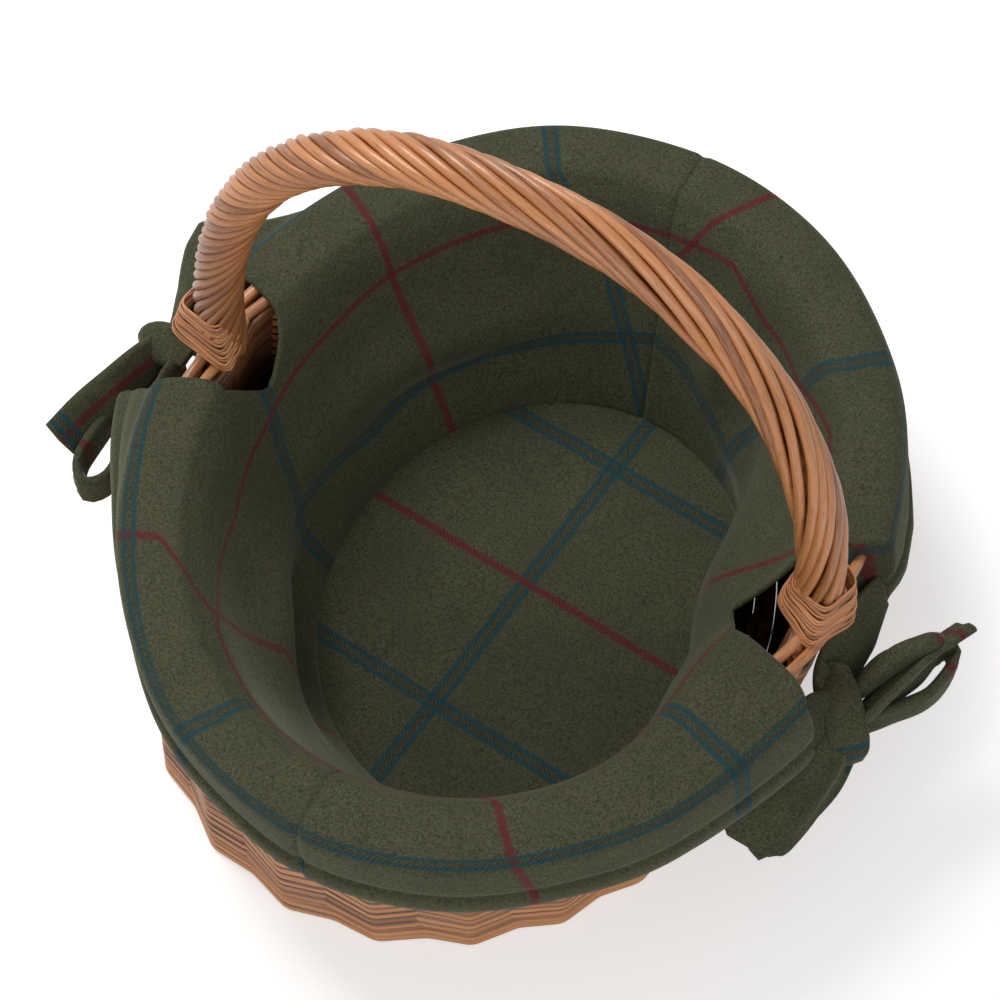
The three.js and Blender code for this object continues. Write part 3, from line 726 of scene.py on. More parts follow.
def wool_material(name, wool, red, blue):
    """Felted check wool. The check follows the cloth's own map, which counts cells."""
    s = Shade(name)
    cells = s.parts(s.node("ShaderNodeUVMap", uv_map="check").outputs[0])
    spot = s.object_coordinates()
    fibre = s.noise(spot, *FIBRE_NOISE)
    felt = s.noise(spot, *FELT_NOISE)
    waver = s.math("MULTIPLY", s.math("SUBTRACT", s.noise(spot, *WAVER_NOISE), 0.5), LINE_WAVER)
    round_it = s.math("MULTIPLY", cells[0], CHECK_U)
    up_it = s.math("MULTIPLY", cells[1], CHECK_V)
    slant = s.math("SINE", s.math("MULTIPLY", s.math("ADD", round_it, up_it), 2 * math.pi / TWILL_PITCH))
    ragged = s.math("MULTIPLY", s.math("SUBTRACT", felt, 0.5), TWILL_WAVER)
    twill = s.ramp(s.math("ADD", slant, ragged), *TWILL_SHADE)
    faint_twill = s.math("ADD", s.math("MULTIPLY", twill, 1 - THREAD_SHARE), THREAD_SHARE)
    colour = wool_ground(s, wool, fibre, felt, s.noise(spot, *CLOUD_NOISE))
    for place, size in ((cells[0], CHECK_U), (cells[1], CHECK_V)):
        cell = s.math("ADD", place, waver)
        away = line_distance(s, cell, size, 0.0)
        colour = s.mix(s.math("MULTIPLY", s.ramp(away, *BETWEEN_BLUES), twill), colour, BETWEEN_COLOUR)
        line = s.ramp(s.math("ABSOLUTE", s.math("SUBTRACT", away, BLUE_REACH)), *BLUE_LINE)
        colour = s.mix(s.math("MULTIPLY", line, faint_twill), colour, blue)
        line = s.ramp(line_distance(s, cell, size, 0.5), *RED_LINE)
        colour = s.mix(s.math("MULTIPLY", line, faint_twill), colour, red)
    colour = s.mix(s.ramp(fibre, *FLECK_RANGE), colour, FLECK_COLOUR)
    height = s.math("ADD", s.math("MULTIPLY", fibre, 0.6), s.math("MULTIPLY", felt, 0.9))
    return s.finish(
        Base_Color=colour, Roughness=0.95, Specular_IOR_Level=0.15, Normal=s.bump(height, *WOOL_RELIEF),
        Sheen_Weight=0.30, Sheen_Roughness=0.28, Sheen_Tint=(0.62, 0.66, 0.48),
    )


def check_wool():
    name = "check_wool_finish"
    if name in bpy.data.materials:
        return bpy.data.materials[name]
    settings = bpy.context.scene.basket_lining
    return wool_material(name, tuple(settings.wool), tuple(settings.red), tuple(settings.blue))


def dress_nodes(prefix, material):
    """Gives the frame's own nodes whose names begin so their finish."""
    for name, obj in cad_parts.items():
        if name.startswith(prefix):
            obj.data.materials.clear()
            obj.data.materials.append(material)


# Cloth

# How far an edge of the cloth is rounded out, as a part of its thickness
EDGE_ROUND = 0.42


def cloth_mesh(name, points, faces, uv):
    """A piece of check wool, with the check's own map on its corners."""
    mesh = bpy.data.meshes.new(name)
    mesh.from_pydata(points, [], faces)
    layer = mesh.uv_layers.new(name="check")
    corners = np.zeros(len(mesh.loops), np.int32)
    mesh.loops.foreach_get("vertex_index", corners)
    layer.data.foreach_set("uv", np.array(uv, np.float32)[corners].ravel())
    mesh.polygons.foreach_set("use_smooth", np.ones(len(mesh.polygons), bool))
    mesh.materials.append(check_wool())
    mesh.update()
    return linked(name, mesh)


def cloth_piece(name, points, faces, uv, thickness):
    """A closed sheet from its outer face. The other face lies behind it, and the edges are rounded."""
    points = np.asarray(points, float)
    faces = np.asarray(faces, int)
    thickness = np.broadcast_to(np.asarray(thickness, float), len(points))
    normals = np.zeros_like(points)
    corner = points[faces]
    area = np.cross(corner[:, 2] - corner[:, 0], corner[:, 3] - corner[:, 1])
    for k in range(4):
        np.add.at(normals, faces[:, k], area)
    normals = unit(normals)
    back = points - normals * thickness[:, None]
    count = len(points)
    used = {}
    for face in faces:
        for k in range(4):
            a, b = int(face[k]), int(face[(k + 1) % 4])
            used[(a, b)] = used.get((a, b), 0) + 1
    rim = [(a, b) for (a, b) in used if (b, a) not in used]
    outward = np.zeros_like(points)
    for a, b in rim:
        side = np.cross(points[b] - points[a], normals[a] + normals[b])
        outward[a] += side
        outward[b] += side
    on_rim = sorted({v for edge in rim for v in edge})
    middle_of = {v: 2 * count + i for i, v in enumerate(on_rim)}
    turned = unit(outward[on_rim])
    middle = (points[on_rim] + back[on_rim]) / 2 + turned * thickness[on_rim, None] * EDGE_ROUND
    every = np.concatenate([points, back, middle])
    quads = [tuple(int(v) for v in face) for face in faces]
    quads += [tuple(int(v) + count for v in reversed(face)) for face in faces]
    for a, b in rim:
        quads.append((b, a, middle_of[a], middle_of[b]))
        quads.append((middle_of[b], middle_of[a], a + count, b + count))
    uv = np.asarray(uv, float)
    return cloth_mesh(name, every.tolist(), quads, np.concatenate([uv, uv, uv[on_rim]]))


# The lining's side panels. A column is a share of the way round, and a row is a place on the section.

# Stations up the bag wall, as shares of the way from the base seam to the roll
WALL_SHARES = [0.0, 0.06, 0.16, 0.3, 0.45, 0.6, 0.75, 0.88]
# Stations of the roll: share of the way in from the widest cuff oval, and height over the crest in
# cloth thicknesses
ROLL_STATIONS = [(1.0, -2.7), (0.86, -0.45), (0.62, 0.0), (0.36, -0.02), (0.14, -0.75), (0.02, -3.2)]
HEM_TOP = HEM_BOTTOM + HEM_HEIGHT
HEM_GROOVE = HEM_TOP + 0.0012
# Stations down the cuff: distance out from the cuff oval, height and thickness
CUFF_STATIONS = [
    (0.0006, 0.132, CLOTH), (0.0012, 0.122, CLOTH), (0.0010, HEM_GROOVE + 0.002, CLOTH),
    (0.0004, HEM_GROOVE, CLOTH), (0.0026, HEM_TOP - 0.0014, HEM_CLOTH),
    (0.0032, HEM_TOP - 0.006, HEM_CLOTH), (0.0024, HEM_BOTTOM, HEM_CLOTH),
]
SECTION_SAMPLES = 1200
PANEL_ROWS = 74
# Rows added close to the fold of the hem, as distances from it
FOLD_ROWS = np.array([-0.0024, -0.0014, -0.0006, 0.0002, 0.0010, 0.0020])
# The columns stand closer together toward the notch by this power.
COLUMN_POWER = 0.92
# Way round at the crest of the roll, as a part of the way round the cuff
CREST_ROUND = 0.88
# Height of the roll's outer shoulder under its crest
SHOULDER_DROP = 0.0045
# From this wall share on, the cloth is in the roll.
ROLL_SHARE = 0.995
# A seam is a dip in the face that is seen, and the dip turns over at the crest along this distance.
SEAM_DEPTH = 0.0011
SEAM_HALF_WIDTH = 0.0016
SEAM_TURN = 0.02

# Even numbers are blue and odd numbers are red.
PANEL_LINES = {
    "left": {
        0: ([0.0, 0.053, 0.088, 0.142, 0.180], [0.498, 0.519, 0.532, 0.564, 0.567]),
        1: ([0.0, 0.048, 0.104, 0.139, 0.180], [0.644, 0.649, 0.656, 0.657, 0.657]),
        2: ([0.0, 0.036, 0.069, 0.106, 0.180], [0.787, 0.790, 0.771, 0.753, 0.750]),
        3: ([0.0, 0.030, 0.067, 0.102, 0.127, 0.1425, 0.1514, 0.183],
            [0.930, 0.922, 0.893, 0.892, 0.890, 0.868, 0.853, 0.847]),
        4: ([0.0, 0.080, 0.120, 0.130, 0.154, 0.175, 0.2],
            [1.075, 1.010, 0.955, 0.944, 0.943, 0.939, 0.936]),
    },
    "right": {
        1: ([0.0, 0.080, 0.1425, 0.167, 0.208], [-0.008, 0.040, 0.076, 0.080, 0.089]),
        2: ([0.0, 0.147, 0.175], [0.136, 0.170, 0.174]),
        3: ([0.0, 0.140], [0.280, 0.281]),
        4: ([0.0, 0.020, 0.043, 0.090, 0.149], [0.425, 0.422, 0.413, 0.388, 0.374]),
        5: ([0.0, 0.113, 0.151, 0.180], [0.575, 0.490, 0.471, 0.462]),
    },
}
# Lines that run round a panel: share of the way round, and distance up from the base seam.
ROUND_LINES = {
    "left": [
        ([0.5, 0.535, 0.587, 0.649, 0.701, 0.774, 0.811, 0.9, 1.0],
         [0.054, 0.0465, 0.038, 0.0343, 0.0315, 0.0466, 0.0524, 0.050, 0.046]),
        ([0.5, 0.587, 0.621, 0.657, 0.692, 0.737, 0.767, 0.824, 0.88, 0.9, 1.0],
         [0.118, 0.1155, 0.1131, 0.1107, 0.104, 0.1038, 0.098, 0.0986, 0.118, 0.1264, 0.129]),
        ([0.5, 0.75, 0.781, 0.802, 0.825, 0.85, 0.889, 0.938, 1.0],
         [0.178, 0.173, 0.1707, 0.1692, 0.1672, 0.166, 0.1674, 0.1710, 0.1735]),
    ],
    "right": [
        ([0.0, 0.15, 0.3, 0.38, 0.42, 0.47, 0.5], [0.046, 0.048, 0.045, 0.030, 0.026, 0.045, 0.054]),
        ([0.0, 0.15, 0.28, 0.343, 0.39, 0.43, 0.459, 0.5],
         [0.129, 0.131, 0.134, 0.1346, 0.1112, 0.1114, 0.1248, 0.118]),
        ([0.0, 0.05, 0.13, 0.19, 0.29, 0.33, 0.5], [0.1735, 0.1722, 0.1738, 0.1711, 0.174, 0.178, 0.178]),
    ],
}
# Edges of the notch at the handle: distance along Y from the handle, by stage of the cloth's way.
# Stage 0 is the notch floor, 1 the inside of the roll, 2 the outer shoulder and 3 the hem.
NOTCH = {
    "left": {
        "floor": 0.121,
        "front": ([0.0, 0.12, 0.35, 0.7, 1.0, 1.3, 1.6, 1.85, 2.0, 3.0],
                  [0.0, 0.005, 0.010, 0.017, 0.023, 0.024, 0.028, 0.032, 0.034, 0.028]),
        "back": ([0.0, 0.12, 0.35, 0.6, 0.85, 1.0, 1.3, 1.55, 2.0, 3.0],
                 [0.0, 0.007, 0.015, 0.021, 0.026, 0.029, 0.033, 0.036, 0.036, 0.014]),
    },
    "right": {
        "floor": 0.106,
        "front": ([0.0, 0.15, 0.4, 0.8, 1.0, 1.3, 1.6, 1.85, 2.0, 2.4, 2.85, 3.0],
                  [0.0, 0.008, 0.016, 0.026, 0.030, 0.034, 0.038, 0.043, 0.046, 0.046, 0.050, 0.054]),
        "back": ([0.0, 0.2, 0.5, 0.8, 1.0, 1.3, 1.6, 2.0, 2.15, 2.35, 2.6, 3.0],
                 [0.0, 0.006, 0.015, 0.024, 0.029, 0.034, 0.036, 0.030, 0.024, 0.016, 0.010, 0.006]),
    },
}
# How far the cuff stands away beside the handle, like the wings of a collar: distance along Y from
# the handle, and the angle from hanging straight down in degrees.
WINGS = {
    "left": {
        "front": ([0.03, 0.04, 0.05, 0.06, 0.075, 0.09, 0.105, 0.12, 0.14],
                  [33, 29, 25, 21, 15, 11, 7, 3, 0]),
        "back": ([0.0, 0.016, 0.032, 0.048, 0.060, 0.075, 0.095, 0.125], [24, 30, 41, 57, 63, 47, 18, 0]),
    },
    "right": {
        "front": ([0.0, 0.04, 0.08, 0.12], [6, 6, 3, 0]),
        "back": ([0.03, 0.045, 0.06, 0.08, 0.12], [0, 2, 7, 8, 0]),
    },
}


def section_stations():
    """Stations of the section: half width, half length, height, bag shift, thickness, wall share."""
    stations = []
    for s in WALL_SHARES:
        width = lerp(BAG_HALF_WIDTH, ROLL_HALF_WIDTH, s)
        length = lerp(BAG_HALF_LENGTH, ROLL_HALF_LENGTH, s)
        stations.append((width, length, lerp(BAG_SEAM, CUFF_CREST, s), 1 - s, CLOTH, s))
    for inward, over in ROLL_STATIONS:
        width = lerp(CUFF_WIDTH / 2, ROLL_HALF_WIDTH, inward)
        length = lerp(CUFF_LENGTH / 2, ROLL_HALF_LENGTH, inward)
        stations.append((width, length, CUFF_CREST + over * CLOTH, 0.0, CLOTH, 1.0))
    for out, z, thick in CUFF_STATIONS:
        stations.append((CUFF_WIDTH / 2 + out, CUFF_LENGTH / 2 + out, z, 0.0, thick, 1.0))
    return np.array(stations)


def section_rows():
    """The rows of a panel, with the columns of a station, and their distances along the section."""
    stations = section_stations()
    drawn = np.column_stack([stations[:, 0], np.zeros(len(stations)), stations[:, 2], stations])
    fine = spline(drawn, SECTION_SAMPLES)
    run = run_lengths(fine[:, :3])
    crest = int(np.argmax(fine[:, 2]))
    fold = run[crest + int(np.argmin(np.abs(fine[crest:, 2] - HEM_TOP)))]
    lengths = np.sort(np.concatenate([np.linspace(0, run[-1], PANEL_ROWS), fold + FOLD_ROWS]))
    return at_lengths(lengths, run, fine[:, 3:]), lengths


def panel_grid(side, columns, floor_row, stage, perimeter):
    """Row and share round of every point of a panel, and its faces. The notch parts it above its floor."""
    first = 0.0 if side == "right" else 0.5
    notch_at = first + 0.25

    def share_round(row, half, t):
        """Share round of a place. t runs from 0 at a seam to 1 at the notch, on either half."""
        edge = NOTCH[side]["front"] if (half == 0) == (side == "right") else NOTCH[side]["back"]
        reach = 0.0 if row <= floor_row else float(np.interp(stage[row], *edge)) / perimeter[row]
        if half == 0:
            return lerp(first, notch_at - reach, t)
        return lerp(first + 0.5, notch_at + reach, t)

    places, faces, index = [], [], {}
    for row in range(len(stage)):
        for half in (0, 1):
            for j in range(columns + 1):
                if half == 1 and j == columns and row <= floor_row:
                    index[(row, half, j)] = index[(row, 0, columns)]
                    continue
                index[(row, half, j)] = len(places)
                places.append((row, share_round(row, half, (j / columns) ** COLUMN_POWER)))
    for row in range(len(stage) - 1):
        for half in (0, 1):
            for j in range(columns):
                face = (
                    index[(row, half, j)], index[(row, half, j + 1)],
                    index[(row + 1, half, j + 1)], index[(row + 1, half, j)],
                )
                faces.append(face[::-1] if half == 0 else face)
    r, p = (np.array(column) for column in zip(*places))
    return r, p, faces


def lining_side(side):
    """A side panel of the lining, from the base seam over the roll to the hem."""
    settings = bpy.context.scene.basket_lining
    rows, lengths = section_rows()
    crest = int(np.argmax(rows[:, 2]))
    to_crest = lengths[crest]
    floor_row = int(np.searchsorted(rows[:crest, 2], NOTCH[side]["floor"]))
    inside = int(np.searchsorted(rows[:, 5], ROLL_SHARE))
    shoulder = crest + int(np.searchsorted(-rows[crest:, 2], SHOULDER_DROP - CUFF_CREST))
    stage = np.interp(lengths, lengths[[floor_row, inside, shoulder, len(rows) - 1]], [0, 1, 2, 3])
    ways_round = [BAG_TABLE[2], CUFF_TABLE[2] * CREST_ROUND, CUFF_TABLE[2]]
    perimeter = np.interp(lengths, [0, to_crest, lengths[-1]], ways_round)
    r, p, faces = panel_grid(side, settings.columns, floor_row, stage, perimeter)
    angle = lerp(oval_angle(p, BAG_TABLE), oval_angle(p, CUFF_TABLE), smooth(lengths[r] / to_crest))
    half_x, half_y, z, shift, thick, wall = rows[r].T
    body = np.sin(np.pi * np.clip(wall, 0, 1)) * (wall < 1)
    away = fold_offset(p, wall) * settings.fold_depth / FOLD_DEPTH * body
    if side == "right":
        away = away - bag_hang(p, wall, stage[r])
    past_crest = lengths[r] - to_crest
    swell = cuff_swell(p, past_crest)
    x = (half_x + away + swell) * np.cos(angle) + shift * BAG_SHIFT[0]
    y = (half_y + away + swell) * np.sin(angle) + shift * BAG_SHIFT[1]
    place = np.stack([x, y, z], 1)
    first = 0.0 if side == "right" else 0.5
    from_seam = np.minimum(np.abs(p - first), np.abs(p - first - 0.5)) * perimeter[r]
    dip = bell(from_seam, 0.0, SEAM_HALF_WIDTH) * SEAM_DEPTH
    inward = -np.stack([np.cos(angle), np.sin(angle), np.zeros(len(p))], 1)
    outside = np.clip(past_crest / SEAM_TURN, -1, 1)
    place += inward * (dip * outside)[:, None]
    place[:, 2] -= dip * (1 - np.abs(outside))
    place[:, 2] += crest_lift(p, z)
    place += wing_offset(side, place, stage[r])
    if side == "right":
        place[:, 0] -= drawn_in(place, stage[r])
    uv = check_cells(side, p, r, lengths, perimeter)
    return cloth_piece(f"lining_side_{side}_cloth", place, faces, uv, thick)


def check_cells(side, p, r, lengths, perimeter):
    """The check's own map: cells round the panel and cells up it."""
    numbers = sorted(PANEL_LINES[side])
    cell_u = np.zeros(len(p))
    for row, run in enumerate(lengths):
        here = r == row
        places = np.array([np.interp(run, *PANEL_LINES[side][number]) for number in numbers])
        share = p[here]
        rate = perimeter[row] / CHECK_U
        cell = np.interp(share, places, numbers)
        cell = np.where(share < places[0], numbers[0] - (places[0] - share) * rate, cell)
        cell_u[here] = np.where(share > places[-1], numbers[-1] + (share - places[-1]) * rate, cell)
    run = lengths[r]
    low, high, top = (np.interp(p, *line) for line in ROUND_LINES[side])
    cell_v = np.where(run < high, (run - low) / (high - low), 1 + (run - high) / (top - high))
    cell_v = np.where(run < low, (run - low) / CHECK_V, cell_v)
    cell_v = np.where(run < top, cell_v, 2 + (run - top) / CHECK_V)
    return np.stack([cell_u, cell_v], 1)


def bell(value, middle, width):
    return np.exp(-(((value - middle) / width) ** 2))


# The cloth on the right hangs in high up and low down: distance in, share round and its spread
UPPER_HANG = 0.017
UPPER_HANG_AT = (0.205, 0.055)
LOWER_HANG = 0.032
LOWER_HANG_AT = (0.295, 0.080)


def bag_hang(p, wall, stage):
    """How far the cloth on the right hangs in from the rim, clear of the willow."""
    upper = bell(p, *UPPER_HANG_AT) * smooth(wall / 0.8) * (1 - smooth((stage - 0.9) / 0.8))
    lower = bell(p, *LOWER_HANG_AT) * smooth(wall / 0.30) * (1 - smooth((wall - 0.42) / 0.5))
    return UPPER_HANG * upper + LOWER_HANG * lower


# The wings are fully out this far under the shoulder.
WING_REACH = 0.016


def wing_offset(side, place, stage):
    """Turns the ends of the cuff beside the handle out about the shoulder of the roll."""
    moved = np.zeros_like(place)
    on_side = place[:, 0] > 0 if side == "right" else place[:, 0] < 0
    drop = np.maximum(SHOULDER - place[:, 2], 0.0) * (stage > 1.5) * on_side
    normal = unit(place[:, :2] / np.array([CUFF_WIDTH, CUFF_LENGTH]) ** 2)
    behind = place[:, 1] > 0
    for where, y, here in (("front", -place[:, 1], ~behind), ("back", place[:, 1], behind)):
        degrees = np.interp(y, *WINGS[side][where]) * smooth(drop / WING_REACH) * here
        turned = np.radians(degrees)
        moved[:, :2] += normal * (drop * np.sin(turned))[:, None]
        moved[:, 2] += drop * (1 - np.cos(turned))
    return moved


# How far the right back end of the cuff is drawn in. Low down it goes by distance along Y. High up it
# fades over a distance that ends at a place along Y. One passes into the other over a height.
DRAWN_LOW = ([-0.02, 0.005, 0.022, 0.036, 0.054], [0.010, 0.008, 0.005, 0.003, 0.0])
DRAWN_HIGH = 0.018
DRAWN_TO = 0.047
DRAWN_FADE = 0.013
DRAWN_FROM_HEIGHT = 0.106
DRAWN_HEIGHT = 0.022


def drawn_in(place, stage):
    """How far the tie draws the right back end of the cuff in against the willow."""
    y, z = place[:, 1], place[:, 2]
    upper = DRAWN_HIGH * smooth((DRAWN_TO - y) / DRAWN_FADE)
    pull = lerp(np.interp(y, *DRAWN_LOW), upper, smooth((z - DRAWN_FROM_HEIGHT) / DRAWN_HEIGHT))
    return pull * smooth((stage - 1.5) / 0.5) * (y > 0.0) * (place[:, 0] > 0)


# Soft waves of the bag wall, and its single folds: distance outward at the middle, share round and
# its spread, share up and its spread
BAG_WAVE = 0.0024
BAG_FOLDS = (
    # The far wall creases over the base and sags above it.
    (0.009, 0.635, 0.06, 0.22, 0.07),
    (-0.007, 0.66, 0.10, 0.42, 0.12),
    # The near left wall stands in over a hollow beside the base.
    (-0.013, 0.855, 0.050, 0.42, 0.14),
    (0.011, 0.865, 0.06, 0.17, 0.09),
    # An upright fold beside the back seam, and a hollow at its foot.
    (-0.007, 0.452, 0.018, 0.55, 0.3),
    (-0.006, 0.40, 0.05, 0.18, 0.12),
)


def fold_offset(p, wall):
    """Soft folds of the bag wall, in metres outward at their fullest."""
    angle = 2 * math.pi * p
    waves = 0.5 * np.sin(3 * angle + 0.6) + 0.35 * np.sin(7 * angle + 2.1 + 1.6 * wall)
    offset = BAG_WAVE * (waves + 0.3 * np.sin(11 * angle - 2.4 * wall))
    for out, share, breadth, up, height in BAG_FOLDS:
        offset = offset + out * bell(p, share, breadth) * bell(wall, up, height)
    return offset


# Waves of the cuff, full after a distance past the crest, and how far its front left is pulled in
CUFF_WAVE = 0.0016
CUFF_WAVE_FULL = 0.03
CUFF_PULL = 0.0058
CUFF_PULL_AT = 0.90
CUFF_PULL_SPREAD = 0.15
CUFF_PULL_FROM = 0.012
CUFF_PULL_RISE = 0.035


def cuff_swell(p, past_crest):
    """The turned down cuff swells and pulls in a little as it goes round."""
    over = np.clip(past_crest / CUFF_WAVE_FULL, 0, 1)
    angle = 2 * math.pi * p
    wave = 0.4 * np.sin(5 * angle + 1.0) + 0.35 * np.sin(9 * angle + 0.3) + 0.25 * np.sin(14 * angle + 2.0)
    hang = np.clip((past_crest - CUFF_PULL_FROM) / CUFF_PULL_RISE, 0, 1)
    from_pull = (p - CUFF_PULL_AT + 0.5) % 1.0 - 0.5
    return CUFF_WAVE * wave * over - CUFF_PULL * bell(from_pull, 0.0, CUFF_PULL_SPREAD) * hang


# Waves of the crest, from none at a height to their full depth a little higher
CREST_WAVE = 0.0012
CREST_WAVE_FROM = 0.135
CREST_WAVE_RISE = 0.015


def crest_lift(p, z):
    """The crest of the roll rises and sinks a little as it goes round."""
    top = np.clip((z - CREST_WAVE_FROM) / CREST_WAVE_RISE, 0, 1)
    angle = 2 * math.pi * p
    waves = np.sin(4 * angle + 0.5) + 0.6 * np.sin(9 * angle + 1.7)
    return top * CREST_WAVE * waves - CREST_WAVE * top


# The base panel: cells of its grid along a side, turn of its check in degrees, how far it goes past
# the seam, its soft waves, and the rise of its edge
BASE_GRID = 72
BASE_TURN = -6.9
BASE_OVERLAP = 0.0012
BASE_WAVE = 0.0018
BASE_RISE = 0.0006


def lining_base():
    """The flat base panel: a square grid laid on an oval, so that it has no pole."""
    count = BASE_GRID
    turn = math.radians(BASE_TURN)
    c, s = math.cos(turn), math.sin(turn)
    points, uv, faces = [], [], []
    for i in range(count + 1):
        for j in range(count + 1):
            u, v = 2 * i / count - 1, 2 * j / count - 1
            x = BAG_SHIFT[0] + (BAG_HALF_WIDTH + BASE_OVERLAP) * u * math.sqrt(1 - v * v / 2)
            y = BAG_SHIFT[1] + (BAG_HALF_LENGTH + BASE_OVERLAP) * v * math.sqrt(1 - u * u / 2)
            edge = max(abs(u), abs(v))
            soft = BASE_WAVE * noise.noise(Vector((x * 16, y * 16, 0.3))) * (1 - edge**4)
            points.append((x, y, BAG_FLOOR + CLOTH + soft + BASE_RISE * edge**16))
            dx, dy = x - BASE_CHECK[0], y - BASE_CHECK[1]
            uv.append(((dx * c + dy * s) / CHECK_U, 1 + (dy * c - dx * s) / CHECK_V))
    side = count + 1
    for i in range(count):
        for j in range(count):
            a = i * side + j
            faces.append((a, a + side, a + side + 1, a + 1))
    return points, faces, uv


# Ties

TIE_WRINKLE = 0.0008
TIE_COLUMNS = 44
TIE_CAP = 0.0008
# Powers that make a strip's section a soft oblong: across it and through it
TIE_SQUARE = (0.55, 0.8)
# Points round a strip, and round one with pleats
STRIP_AROUND = 20
PLEAT_AROUND = 44


def tie_strip(name, stations, cell, seed, closed=False, pleat=0.0):
    """A doubled cloth strip swept along a path, with soft edges and fine wrinkles."""
    fine = spline([(*station[:5], *station[5]) for station in stations], TIE_COLUMNS, closed)
    path, wide, deep, side = fine[:, :3], fine[:, 3], fine[:, 4], unit(fine[:, 5:8])
    if closed:
        tangent = unit(np.roll(path, -1, 0) - np.roll(path, 1, 0))
    else:
        tangent = unit(np.gradient(path, axis=0))
    side = unit(side - tangent * np.sum(side * tangent, 1, keepdims=True))
    normal = np.cross(tangent, side)
    around = PLEAT_AROUND if pleat else STRIP_AROUND
    lengths = run_lengths(path)
    points, uv, faces = [], [], []
    for i in range(len(path)):
        for j in range(around):
            a = 2 * math.pi * j / around
            u = math.copysign(abs(math.cos(a)) ** TIE_SQUARE[0], math.cos(a))
            v = math.copysign(abs(math.sin(a)) ** TIE_SQUARE[1], math.sin(a))
            spot = path[i] + side[i] * u * wide[i] / 2
            ripple = TIE_WRINKLE * noise.noise(Vector((lengths[i] * 70, u * 1.6, seed)))
            fullness = math.sin(math.pi * min(1.0, 0.15 + lengths[i] / lengths[-1]))
            crease = TIE_WRINKLE * 1.2 * math.cos(u * 7 + seed + lengths[i] * 30)
            crease += 2.5 * pleat * fullness * math.cos(u * 8.5 + 0.4 * seed)
            points.append(spot + normal[i] * (v * deep[i] / 2 + ripple + crease * 0.4))
            across = cell[0] + cell[2] * u * wide[i] / 2 / CHECK_U
            uv.append((across, cell[1] + cell[3] * lengths[i] / CHECK_V))
    for i in range(len(path) if closed else len(path) - 1):
        n = (i + 1) % len(path)
        for j in range(around):
            k = (j + 1) % around
            faces.append((i * around + j, i * around + k, n * around + k, n * around + j))
    if not closed:
        for i, out in ((0, -TIE_CAP), (len(path) - 1, TIE_CAP)):
            middle = len(points)
            points.append(path[i] + tangent[i] * out)
            uv.append(uv[i * around])
            for j in range(around):
                corners = (i * around + j, i * around + (j + 1) % around, middle)
                faces.append(corners[::-1] if i == 0 else corners)
    strip = cloth_mesh(name, [tuple(q) for q in points], faces, uv)
    if signed_volume(strip.data) < 0:
        strip.data.flip_normals()
    return strip


def signed_volume(mesh):
    """Volume of a closed mesh, below zero where its faces look inward."""
    mesh.calc_loop_triangles()
    total = 0.0
    for triangle in mesh.loop_triangles:
        a, b, c = (mesh.vertices[v].co for v in triangle.vertices)
        total += a.dot(b.cross(c))
    return total


def joined_piece(name, parts):
    """One object from several, by adding their meshes together."""
    chosen = {"active_object": parts[0], "object": parts[0], "selected_editable_objects": parts}
    with bpy.context.temp_override(**chosen):
        bpy.ops.object.join()
    parts[0].name = name
    parts[0].data.name = name
    return parts[0]


